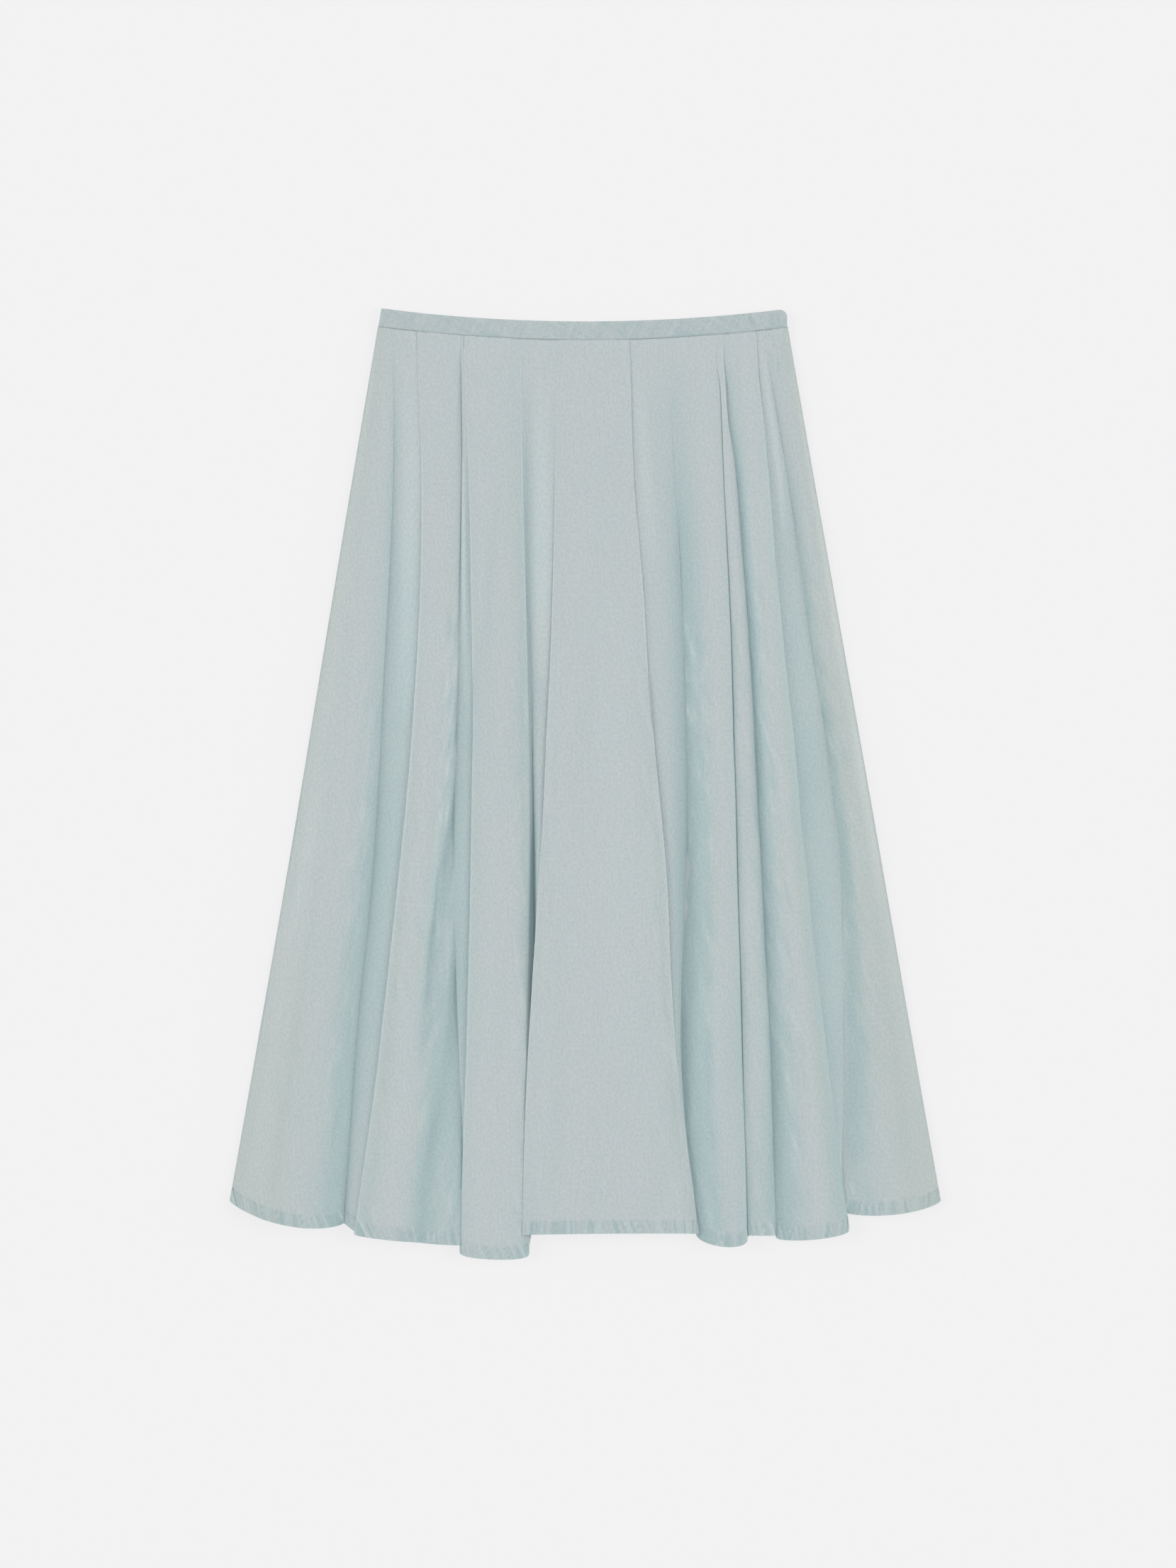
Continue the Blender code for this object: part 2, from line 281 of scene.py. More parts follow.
# A crease runs from the waist seam (0) to the hem (1).
# across: its x at each of ACROSS_AT. height: its height above FRONT_REST at each of HEIGHT_AT.
# hem: how far down its lower end is. A bottom is the floor of a valley, and an edge is the
# shoulder of a fold, which may hang over the valley beside it. At a step two folds meet without
# a valley, and a side is where the panel ends.
ACROSS_AT = (0.0, 0.15, 0.35, 0.6, 0.8, 1.0)
HEIGHT_AT = (0.0, 0.04, 0.12, 0.35, 0.65, 1.0)
Crease = namedtuple("Crease", "name kind across height hem")
CREASES = (
    Crease("left side", "side", (-178, -197, -222, -253, -279, -305.5),
           (0.9, 0.6, 0.4, 0, 0, 0.7), 740),
    Crease("first valley", "bottom", (-166, -165, -171.5, -182.3, -197, -207.5),
           (0.9, 0.4, 0.2, 0.3, 0.8, 0.9), 759),
    Crease("first shoulder", "edge", (-145, -140.5, -143.5, -159.3, -176.2, -198),
           (1.2, 1.8, 2.6, 5.0, 6.4, 6.0), 768),
    Crease("second valley", "bottom", (-107, -106, -109, -113, -108, -101),
           (0.9, 0.3, 0.4, 2.1, 3.0, 3.4), 777),
    Crease("second shoulder", "edge", (-104.5, -100.2, -96.8, -98.4, -102, -107.5),
           (1.2, 2.5, 3.6, 4.8, 5.0, 4.6), 783),
    Crease("left pleat foot", "edge", (-56, -54, -50, -47.5, -47.5, -48.6),
           (1.0, 1.2, 1.4, 2.0, 4.6, 2.4), 785),
    Crease("left pleat valley", "bottom", (-52, -51, -46.5, -44, -43.5, -47.3),
           (0.9, 0.5, 0.4, 1.6, 0.5, 0.9), 772),
    Crease("left pleat edge", "edge", (-24, -25.5, -29.5, -39.3, -49, -54.5),
           (1.0, 1.6, 2.8, 5.4, 8.0, 5.4), 770),
    Crease("right pleat edge", "edge", (38, 41.5, 53, 69, 78, 97.5),
           (1.0, 1.8, 3.0, 5.4, 6.8, 3.4), 769),
    Crease("right pleat valley", "bottom", (70, 77, 85, 87, 82, 95),
           (0.9, 0.5, 0.0, -0.6, -0.6, 3.1), 765),
    Crease("third valley", "step", (115, 119, 126, 131, 135.5, 139.5),
           (1.0, 0.9, 1.4, 3.4, 5.0, 5.0), 769.5),
    Crease("fourth valley", "bottom", (119, 129, 141.3, 151, 159, 164),
           (0.9, 0.3, 1.3, 2.5, 1.6, 0.7), 770),
    Crease("right shoulder", "edge", (147, 156.3, 170.5, 190, 206.5, 226.5),
           (1.0, 1.8, 2.6, 3.6, 3.9, 3.6), 764),
    Crease("last valley", "bottom", (152, 171.5, 193.7, 219, 222, 219),
           (0.7, -0.5, -0.6, 0.3, 1.0, 2.2), 748),
    Crease("right side", "side", (174, 193.5, 220, 253, 279, 305.5),
           (0.9, 0.6, 0.4, 0, 0, 0.7), 740),
)

# A crown is the raised cloth from one crease to the next.
# lift: how high it rises over the line between them, at each of HEIGHT_AT.
# flat: 2 is a round arch, and more has a flatter top and steeper sides.
# left and right, at each of HEIGHT_AT or one number for all: 0.5 rises straight up from its
# crease, 1 at a slope, and 2 softly. sag: how much lower the hem hangs at its middle.
# corner: small where the hem drops at once from its ends, and larger where it curves down.
# lean: 1 has its top in the middle, and more has it nearer the right.
Crown = namedtuple("Crown", "lift flat left right sag corner lean", defaults=(0.3, 1.0))
CROWNS = {
    "left side": Crown(
        (0.2, 1.6, 3.2, 6.6, 9.5, 11.5), 2.6, 2, (1, 1, 1, 1.05, 1.0, 0.9), 11, 0.7),
    "first shoulder": Crown(
        (0.3, 1.2, 2.2, 4.2, 5.2, 6.2), 2.5, 0.6, (0.5, 0.5, 0.5, 1.4, 1.8, 1), 2.5),
    "second shoulder": Crown(
        (0.3, 1.4, 2.8, 4.8, 5.0, 5.0), 2.5, 0.6, (0.9, 0.8, 0.7, 0.6, 0.6, 0.9), 6),
    "left pleat edge": Crown((0.4, 1.0, 1.8, 3.0, 4.0, 5.0), 3.5, 0.6, 0.6, -1.8),
    "right pleat valley": Crown(
        (0.2, 1.6, 3.4, 6.0, 7.5, 6.5), 2, (1, 1, 1.0, 1.4, 1.9, 2.2),
        (0.5, 0.5, 0.6, 0.75, 0.8, 0.8), 11.5, 0.3, 1.45),
    "third valley": Crown(
        (0.1, 1.4, 2.2, 3.2, 4.0, 3.6), 2, 0.5, (0.6, 0.7, 0.8, 0.8, 0.8, 0.9), 0),
    "fourth valley": Crown(
        (0.2, 2.2, 4.4, 6.4, 7.6, 7.0), 2, (0.8, 1.0, 2.0, 2.0, 2.0, 1.7),
        (0.6, 0.7, 0.9, 1.0, 1.0, 1), 6, 0.3, 1.3),
    "last valley": Crown(
        (0.2, 1.6, 2.8, 4.4, 5.4, 5.6), 2, (1, 0.7, 1.0, 1.8, 2.0, 1.8), 1.6, 8, 0.62, 1.25),
}

# A wall is the cloth between a valley and a fold's edge, named by the crease on its left.
# tuck: how far it goes in under the edge, at each of HEIGHT_AT or one number for all.
# leave: how much steeper than its chord it leaves its valley, in the same way.
# faded: how much of the painted valley shade it has lost.
Wall = namedtuple("Wall", "tuck leave faded", defaults=(0.0,))
WALLS = {
    "first valley": Wall((0, 0.3, 0.4, 0.7, 1.5, 0.8), (2.4, 2.4, 2.4, 1.8, 1.4, 1.1), 0.3),
    "second valley": Wall((0.3, 0.8, 0.7, 0.35, 0.9, 1.0), (1.3, 1.3, 1.3, 2.0, 1.5, 1.3)),
    "left pleat foot": Wall(0, 1.3),
    "left pleat valley": Wall((0, 0, 0.2, 2.2, 3.5, 1.6), (2, 2, 2, 2.2, 2.2, 1.5)),
    "right pleat edge": Wall((0.2, 0.9, 0.9, 1.0, 3.6, 0.5), (1.4, 1.4, 1.8, 2.6, 1.4, 1.2), 0.05),
    "right shoulder": Wall((0.3, 0.9, 0.5, 0.1, 0.1, 0.2), (1.6, 1.6, 1.8, 2.4, 2.2, 1.2), 0.5),
}

# A nudge moves a crease sideways around one share of its length.
Nudge = namedtuple("Nudge", "at reach shift")
NUDGES = {
    "third valley": (Nudge(0.03, 0.02, -2.6),),
    "fourth valley": (Nudge(0.03, 0.03, -1.8), Nudge(0.09, 0.04, -3.0)),
    "right shoulder": (Nudge(0.05, 0.04, -1.5),),
}

# A wrinkle is a soft trough (negative depth) or ridge on one fold, along a line given by its
# x at some distances down. WRINKLE_FADE is how softly its ends fade.
Wrinkle = namedtuple("Wrinkle", "fold downs across depth half_width")
WRINKLES = (
    Wrinkle("first shoulder", (385, 420, 460, 500, 561, 640),
            (-117, -119.5, -124.5, -130.5, -136.2, -143), -4.2, 7),
    Wrinkle("first shoulder", (430, 480, 530, 600), (-114, -115, -119, -122), 0.8, 4),
    Wrinkle("first shoulder", (530, 615, 683, 732, 860), (-112, -121, -132, -139.7, -147), -4.4, 10),
    Wrinkle("first shoulder", (120, 200, 300), (-131, -128, -130), -0.5, 6),
    Wrinkle("left side", (560, 650, 780), (-259, -258, -262), -0.9, 7),
    Wrinkle("left side", (380, 480, 600), (-226, -236, -247), 0.4, 9),
    Wrinkle("left side", (-4, 40, 90, 150), (-178, -175, -178, -184), -0.5, 4),
    Wrinkle("second shoulder", (120, 205, 255, 330), (-76, -80.5, -87, -95), -1.0, 4.5),
    Wrinkle("second shoulder", (430, 520, 640), (-80, -76, -73), -0.4, 8),
    Wrinkle("left pleat edge", (10, 30, 60), (43, 44.5, 46), 0.35, 3.5),
    Wrinkle("left pleat edge", (40, 260, 500), (-5, -8, -14), -0.4, 12),
    Wrinkle("left pleat edge", (200, 420, 640), (22, 27, 36), 0.4, 16),
    Wrinkle("left pleat edge", (480, 620, 800), (-22, -25, -26), -0.8, 9),
    Wrinkle("right pleat valley", (160, 300, 450), (98, 104, 106), -0.4, 6),
    Wrinkle("right pleat valley", (480, 600, 735), (112, 110, 116), 0.5, 6),
    Wrinkle("fourth valley", (420, 540, 700), (172, 180, 190), -0.6, 6),
    Wrinkle("right shoulder", (8, 45, 95, 180), (151.5, 155.5, 162.5, 171), 1.1, 3),
    Wrinkle("left pleat valley", (30, 110, 190, 300), (-38, -37, -36.5, -37), 1.8, 6.5),
    Wrinkle("first valley", (20, 90, 180, 330), (-152, -149.5, -151, -153), 1.6, 6),
    Wrinkle("right pleat edge", (20, 60, 110, 190), (44.5, 48, 52, 58), 0.9, 4),
    Wrinkle("second valley", (95, 150, 210, 285), (-104.5, -104, -103.4, -103), 1.3, 2.0),
    Wrinkle("last valley", (-6, 8, 22), (156, 161, 168), -0.5, 2.5),
    Wrinkle("last valley", (300, 420, 560), (221, 236, 247), 0.4, 7),
    Wrinkle("last valley", (600, 670, 730), (262, 270, 279), -0.6, 7),
)
WRINKLE_FADE = 0.8

# Puckers are many small slanting wrinkles on one part of a fold.
# start and end: shares of the fold's width. top and bottom: shares down the panel.
# tilt: millimetres sideways for each millimetre down, and depth: how high or deep the largest
# are. Their lengths, half widths, sizes and tilts are drawn between the two numbers of each.
Pucker = namedtuple("Pucker", "fold start end top bottom tilt count depth")
PUCKERS = (
    Pucker("first shoulder", 0.62, 0.97, 0.30, 0.70, -0.18, 120, 0.36),
    Pucker("first shoulder", 0.55, 0.95, 0.70, 0.99, -0.30, 120, 0.30),
    Pucker("first shoulder", 0.02, 0.45, 0.45, 0.99, 0.30, 90, 0.18),
    Pucker("left side", 0.70, 0.97, 0.40, 0.98, -0.15, 130, 0.26),
    Pucker("left side", 0.08, 0.60, 0.55, 0.98, 0.10, 90, 0.15),
    Pucker("second shoulder", 0.72, 0.98, 0.35, 0.98, 0.12, 110, 0.22),
    Pucker("left pleat edge", 0.86, 0.985, 0.35, 0.98, 0.20, 80, 0.20),
    Pucker("left pleat edge", 0.01, 0.12, 0.30, 0.95, -0.10, 60, 0.18),
    Pucker("right pleat valley", 0.04, 0.50, 0.30, 0.98, 0.30, 190, 0.44),
    Pucker("third valley", 0.10, 0.95, 0.30, 0.98, 0.15, 90, 0.22),
    Pucker("fourth valley", 0.04, 0.60, 0.25, 0.98, 0.35, 190, 0.30),
    Pucker("last valley", 0.05, 0.60, 0.25, 0.98, 0.35, 160, 0.26),
    Pucker("last valley", 0.05, 0.90, 0.00, 0.06, 0.55, 16, 0.30),
)
PUCKER_LENGTHS = (9.0, 26.0)
PUCKER_HALF_WIDTHS = (1.1, 2.0)
PUCKER_SIZES = (0.5, 1)
PUCKER_TILTS = (0.4, 1.5)

# A tone is a soft stripe down a fold where one mark is stronger, or weaker if its strength is
# negative: at this share of the fold's width, fading out over the half width, from the top share
# of the panel's length to the bottom.
# Their marks carry painted light: stripes of painted valley shade (a negative strength lightens it),
# the yellower mark's painted shade, and a painted cool light beside valleys.
Tone = namedtuple("Tone", "mark fold share half_width top bottom strength")
TONES = (
    Tone("yellower_and_painted_shade", "left side", 0.36, 0.05, 0.50, 1.20, 0.40),
    Tone("yellower_and_painted_shade", "first shoulder", 0.10, 0.07, 0.35, 1.15, 0.45),
    Tone("yellower_and_painted_shade", "second shoulder", 0.90, 0.06, 0.10, 1.00, 0.45),
    Tone("yellower_and_painted_shade", "left pleat edge", 0.95, 0.03, 0.40, 1.15, 0.55),
    Tone("yellower_and_painted_shade", "third valley", 0.12, 0.10, 0.20, 1.10, 0.40),
    Tone("yellower_and_painted_shade", "fourth valley", 0.85, 0.11, 0.10, 1.15, 0.60),
    Tone("yellower_and_painted_shade", "last valley", 0.72, 0.07, 0.45, 1.10, 0.30),
    Tone("painted_shade_and_mottle", "left side", 0.94, 0.06, 0.00, 0.30, 0.35),
    Tone("painted_shade_and_mottle", "first shoulder", 0.78, 0.20, 0.55, 1.20, 0.52),
    Tone("painted_shade_and_mottle", "first shoulder", 0.95, 0.10, 0.45, 1.05, 0.55),
    Tone("painted_shade_and_mottle", "first valley", 0.60, 0.25, 0.28, 0.75, -0.18),
    Tone("painted_shade_and_mottle", "second valley", 0.55, 0.28, 0.20, 0.80, -0.40),
    Tone("painted_shade_and_mottle", "second shoulder", 0.34, 0.10, 0.18, 0.52, 0.20),
    Tone("painted_shade_and_mottle", "right pleat valley", 0.32, 0.40, 0.45, 1.60, 0.66),
    Tone("painted_shade_and_mottle", "fourth valley", 0.14, 0.12, 0.04, 0.62, 0.55),
    Tone("painted_shade_and_mottle", "right shoulder", 0.30, 0.30, 0.25, 0.95, -0.12),
    Tone("painted_shade_and_mottle", "last valley", 0.22, 0.22, 0.25, 1.30, 0.25),
    Tone("painted_shade_and_mottle", "last valley", 0.00, 0.12, 0.05, 0.80, 0.60),
    # Painted cool light: a teal tint on the walls beside some valleys.
    Tone("painted_cool_light", "first valley", 0.55, 0.40, 0.15, 0.95, 0.80),
    Tone("painted_cool_light", "second valley", 0.50, 0.45, 0.12, 0.95, 0.85),
    Tone("painted_cool_light", "right shoulder", 0.40, 0.45, 0.10, 1.10, 0.75),
)

# Creases of the hidden back. They may cross the whole panel, so their first entry isn't read.
BACK_WRINKLES = (
    Wrinkle("back", (60, 300, 560), (-120, -150, -196), 0.9, 9),
    Wrinkle("back", (240, 430, 690), (-40, -52, -70), 1.1, 10),
    Wrinkle("back", (80, 260, 420), (24, 31, 30), 0.6, 9),
    Wrinkle("back", (330, 520, 730), (64, 88, 118), 1.2, 11),
    Wrinkle("back", (120, 380, 610), (128, 164, 190), 1.0, 9),
    Wrinkle("back", (500, 610, 725), (-232, -250, -262), 0.8, 10),
    Wrinkle("back", (470, 600, 715), (214, 232, 244), 0.9, 10),
)

# Creases of the waistband where it is pulled near its right end. Their first entry isn't read.
BAND_WRINKLES = (
    Wrinkle("band", (-25, -17, -8), (139.5, 142.0, 145.5), -0.75, 2.2),
    Wrinkle("band", (-25, -17, -8), (143.5, 146.5, 150.5), 0.30, 2.6),
    Wrinkle("band", (-25, -15, -7), (158.5, 159.5, 162), -0.45, 1.6),
    Wrinkle("band", (-25, -17, -9), (165.5, 166, 167), -0.40, 1.4),
)

# The two halves of the band: the height of the middle, half its thickness, where it ends on the
# right, its creases, and whether its seen side is up
Band = namedtuple("Band", "name middle half_thickness right_end wrinkles outer_up")
BANDS = (
    Band("front_band", 3.15, 0.95, BAND_RIGHT, BAND_WRINKLES, True),
    Band("back_band", 0.95, 0.85, BAND_RIGHT - BACK_BAND_SHORTER, (), False),
)

NODE_OF = {
    "front_cloth": "skirt_front",
    "back_cloth": "skirt_back",
    "front_band": "waistband_front",
    "back_band": "waistband_back",
}


def mix(start, end, share):
    """Value at a share of the way from start to end."""
    return start + (end - start) * share


def smooth(stations, values, t):
    """Value at t of the cubic through the stations, with slopes from their neighbours.

    One number in the place of the values stands for the same one at each station.
    """
    stations = np.asarray(stations, dtype=float)
    values = np.broadcast_to(np.asarray(values, dtype=float), stations.shape)
    slopes = np.gradient(values, stations)
    k = np.clip(np.searchsorted(stations, t, side="right") - 1, 0, len(stations) - 2)
    span = stations[k + 1] - stations[k]
    u = (t - stations[k]) / span
    return (
        (2 * u**3 - 3 * u**2 + 1) * values[k]
        + (u**3 - 2 * u**2 + u) * span * slopes[k]
        + (3 * u**2 - 2 * u**3) * values[k + 1]
        + (u**3 - u**2) * span * slopes[k + 1]
    )


def bell(distance, half_width):
    """1 at no distance, falling softly to 0 past the half width."""
    return np.exp(-((distance / half_width) ** 2))


def step_up(value, low, high):
    """0 below low, 1 above high, and an even S between them."""
    share = np.clip((value - low) / (high - low), 0, 1)
    return share * share * (3 - 2 * share)


def seam_down(x):
    """How far down the waist seam is at x: a parabola whose ends are higher than its middle."""
    return -WAIST_DIP * (x / WAIST_HALF) ** 2


def place():
    """Where the design's zero lies in the frame, in millimetres, read from the front band's box."""
    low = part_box(NODE_OF["front_band"])[0]
    return np.array([low[0] / MM - BAND_LEFT, low[1] / MM - SEAM_GAP / 2, 0.0])


def waver(t, seed, size):
    """Slow sideways unevenness of a crease: three sines of random phase, still at both ends."""
    phase = np.random.default_rng(seed).uniform(0, 2 * np.pi, 3)
    total = sum(np.sin(2 * np.pi * count * t + p) / count for count, p in zip((2, 3, 5), phase))
    return size * total * np.sin(np.pi * t)


def crease_line(index, t, unevenness):
    """A crease's x, height and total way down to the hem, for each t."""
    crease = CREASES[index]
    x = smooth(ACROSS_AT, crease.across, t)
    for nudge in NUDGES.get(crease.name, ()):
        x = x + nudge.shift * bell(t - nudge.at, nudge.reach)
    if crease.kind != "side":
        x = x + waver(t, SEEDS["creases"] + index, unevenness)
    z = FRONT_REST + smooth(HEIGHT_AT, crease.height, t)
    return x, z, np.full_like(t, float(crease.hem))


def crown_points(start, end, crown, t, steps):
    """Arch from one crease to the next: 1 - |1 - 2 s| ** flat, to the power of its ends.

    Here s is the share of the way to the next crease, to the power of its lean.
    """
    a = np.linspace(0, 1, steps + 1)[None, :]
    share = (1 - np.cos(np.pi * a)) / 2
    left = smooth(HEIGHT_AT, crown.left, t)[:, None]
    right = smooth(HEIGHT_AT, crown.right, t)[:, None]
    leaning = share**crown.lean
    arch = np.clip(1 - np.abs(1 - 2 * leaning) ** crown.flat, 0, 1) ** mix(left, right, share)
    lift = smooth(HEIGHT_AT, crown.lift, t)[:, None]
    x = mix(start[0][:, None], end[0][:, None], share)
    z = mix(start[1][:, None], end[1][:, None], share) + lift * arch
    drop = crown.sag * (4 * share * (1 - share)) ** crown.corner
    hem = mix(start[2][:, None], end[2][:, None], share) + drop
    return x, z, hem, share[0]


def wall_points(start, end, wall, t, rising, steps):
    """Cloth between a valley and an edge as one cubic, upright at the edge.

    It leaves the valley more steeply than its chord, and tucks under the edge by a bump
    a ** TUCK_POWER (1 - a) before it comes back up to it.
    """
    u = np.linspace(0, 1, steps + 1)[None, :]
    a = 1 - (1 - u) ** EDGE_GATHER if rising else u**EDGE_GATHER
    x0, z0, hem0 = (value[:, None] for value in start)
    x1, z1, hem1 = (value[:, None] for value in end)
    side = 1 if rising else -1
    chord = np.hypot(x1 - x0, z1 - z0)
    apart = np.clip((x1 - x0) / WALL_APART, 0, 1)
    upright = np.minimum(chord, mix(UPRIGHT_RISE * np.abs(z1 - z0), EDGE_UPRIGHT, apart))
    angle = np.arctan2(side * (z1 - z0), x1 - x0)
    leave = smooth(HEIGHT_AT, wall.leave, t)[:, None]
    turn = np.minimum(leave * angle, np.radians(STEEPEST_FLOOR))
    across = chord * np.cos(turn)
    along_floor = chord * np.sin(turn)
    at_start = (across, along_floor) if rising else (0, -upright)
    at_end = (0, upright) if rising else (across, -along_floor)
    from_start = 2 * a**3 - 3 * a**2 + 1
    to_end = 3 * a**2 - 2 * a**3
    out_of_start = a**3 - 2 * a**2 + a
    into_end = a**3 - a**2
    near = a if rising else 1 - a
    bump = near**TUCK_POWER * (1 - near) / TUCK_BUMP
    tuck = smooth(HEIGHT_AT, wall.tuck, t)[:, None] * apart * bump
    x = from_start * x0 + to_end * x1 + out_of_start * at_start[0] + into_end * at_end[0]
    z = from_start * z0 + to_end * z1 + out_of_start * at_start[1] + into_end * at_end[1]
    return x + side * tuck, z - TUCK_DROP * tuck, mix(hem0, hem1, a), a[0]


def row_shares():
    """Shares down the panel, closer together by the waist seam and over the turned hem."""
    return np.concatenate([
        np.linspace(0, TOP_SHARE, TOP_ROWS, endpoint=False),
        np.linspace(TOP_SHARE, 1 - HEM_SHARE, BODY_ROWS, endpoint=False),
        np.linspace(1 - HEM_SHARE, 1, HEM_ROWS),
    ])


def even_steps(width):
    """Number of grid steps across a fold of this width, made even."""
    return 2 * max(FEWEST_PAIRS, int(round(abs(width) / COLUMN_SPACING / 2)))


def front_middle(t, unevenness):
    """The front's middle surface from its creases and crowns, with each column's fold and share."""
    blocks = []
    folds = []
    shares = []
    for index, (crease, following) in enumerate(zip(CREASES[:-1], CREASES[1:])):
        start = crease_line(index, t, unevenness)
        end = crease_line(index + 1, t, unevenness)
        if crease.name in CROWNS:
            steps = even_steps(following.across[-1] - crease.across[-1])
            block = crown_points(start, end, CROWNS[crease.name], t, steps)
        else:
            rising = crease.kind == "bottom"
            block = wall_points(start, end, WALLS[crease.name], t, rising, WALL_STEPS)
        first = 0 if not blocks else 1
        blocks.append([value[:, first:] for value in block[:3]])
        shares.append(block[3][first:])
        folds.extend([crease.name] * (block[0].shape[1] - first))
    x = np.concatenate([block[0] for block in blocks], axis=1)
    z = np.concatenate([block[1] for block in blocks], axis=1)
    hem = np.concatenate([block[2] for block in blocks], axis=1)
    points = np.stack([x, -mix(seam_down(x[:1, :]), hem, t[:, None]), z], axis=-1)
    return points, np.array(folds), np.concatenate(shares)


def rise_under_crowns(x, t):
    """How far the back's cloth stands up inside the folds of the front, below its flat top."""
    rise = np.zeros_like(x)
    opened = np.clip((t - BACK_RISE_START) / (1 - BACK_RISE_START), 0, 1)[:, None]
    for crease, following in zip(CREASES[:-1], CREASES[1:]):
        if crease.name in CROWNS:
            left = smooth(ACROSS_AT, crease.across, t)[:, None]
            right = smooth(ACROSS_AT, following.across, t)[:, None]
            lift = smooth(HEIGHT_AT, CROWNS[crease.name].lift, t)[:, None]
            share = np.clip((x - left) / (right - left), 0, 1)
            rise += BACK_RISE * lift * np.sin(np.pi * share) ** 2 * opened
    return rise


def back_middle(t, steps):
    """The back's middle surface: straight between the sides, raised a little under each crown."""
    share = np.linspace(0, 1, steps + 1)[None, :]
    left = smooth(ACROSS_AT, CREASES[0].across, t)[:, None] + BACK_INSET
    right = smooth(ACROSS_AT, CREASES[-1].across, t)[:, None] - BACK_INSET
    x = mix(left, right, share)
    hem = BACK_SIDE_LENGTH + BACK_MIDDLE_DROP * (1 - (2 * share - 1) ** 2)
    z = BACK_REST + rise_under_crowns(x, t)
    return np.stack([x, -mix(seam_down(x[:1, :]), hem, t[:, None]), z], axis=-1)


def unit(vectors):
    """The vectors made one long."""
    return vectors / np.maximum(np.linalg.norm(vectors, axis=-1, keepdims=True), TINY)


def directions(points, axis):
    """Unit direction of the surface along a grid axis, halfway between its two neighbours'."""
    step = unit(np.diff(points, axis=axis))
    before = np.concatenate([np.take(step, [0], axis=axis), step], axis=axis)
    after = np.concatenate([step, np.take(step, [-1], axis=axis)], axis=axis)
    return unit(before + after)


def normals(points):
    """Unit normals of a grid whose rows run down and whose columns run right: they face up."""
    return unit(np.cross(directions(points, 0), directions(points, 1)))


def along(points, axis):
    """Distance walked along the grid axis from its first line."""
    step = np.linalg.norm(np.diff(points, axis=axis), axis=-1)
    start = np.zeros_like(np.take(step, [0], axis=axis))
    return np.concatenate([start, np.cumsum(step, axis=axis)], axis=axis)


def flat_cut(points):
    """Each point's place on the flat cloth: across from the middle column, and down."""
    across = along(points, 1)
    middle = np.argmin(np.abs(points[0, :, 0]))
    return across - across[:, middle:middle + 1], along(points, 0)


def above_hem(points):
    """How far each point lies above the hem's edge in its own column."""
    return points[:, :, 1] - points[-1:, :, 1]


def turned_up(to_hem, turn):
    """1 on the turned hem and 0 above it, for each distance above the hem's edge."""
    return 1 - step_up(to_hem, turn + HEM_STEP[0], turn + HEM_STEP[1])


def by_sides(points):
    """1 at both side edges of a panel, falling softly to 0 inwards."""
    x = points[..., 0]
    return bell(x - x[:, :1], SIDE_REACH) + bell(x - x[:, -1:], SIDE_REACH)


def wrinkle_lift(wrinkles, points, folds, strength):
    """Sum of each wrinkle's bell across its line, faded in and out along it by a sine.

    The folds name each column's fold, and None lets every wrinkle cross all the columns.
    """
    lift = np.zeros(points.shape[:2])
    down = -points[..., 1]
    for wrinkle in wrinkles:
        columns = np.ones(points.shape[1], bool) if folds is None else folds == wrinkle.fold
        first, last = wrinkle.downs[0], wrinkle.downs[-1]
        d = down[:, columns]
        share = np.clip((d - first) / (last - first), 0, 1)
        line = smooth(wrinkle.downs, wrinkle.across, np.clip(d, first, last))
        fade = np.sin(np.pi * share) ** WRINKLE_FADE
        off = points[:, columns, 0] - line
        lift[:, columns] += strength * wrinkle.depth * fade * bell(off, wrinkle.half_width)
    return lift


def pucker_lift(points, folds, shares, t, strength):
    """Sum of many small slanting bells, spread at random over each puckered part of a fold."""
    lift = np.zeros(points.shape[:2])
    down = -points[..., 1]
    for number, pucker in enumerate(PUCKERS):
        random = np.random.default_rng(SEEDS["puckers"] + number)
        columns = np.flatnonzero(folds == pucker.fold)
        width = np.abs(points[:, columns[-1], 0] - points[:, columns[0], 0])[:, None]
        share = shares[columns][None, :]
        d = down[:, columns]
        for _ in range(pucker.count):
            middle = random.uniform(pucker.start, pucker.end)
            row = np.searchsorted(t, random.uniform(pucker.top, pucker.bottom))
            centre_down = d[min(row, len(t) - 1)].mean()
            reach = random.uniform(*PUCKER_LENGTHS) / 2
            half_width = random.uniform(*PUCKER_HALF_WIDTHS)
            size = pucker.depth * random.choice((-1, 1)) * random.uniform(*PUCKER_SIZES)
            tilt = pucker.tilt * random.uniform(*PUCKER_TILTS)
            off = (share - middle) * width - tilt * (d - centre_down)
            along_it = bell(d - centre_down, reach)
            lift[:, columns] += strength * size * bell(off, half_width) * along_it
    return lift


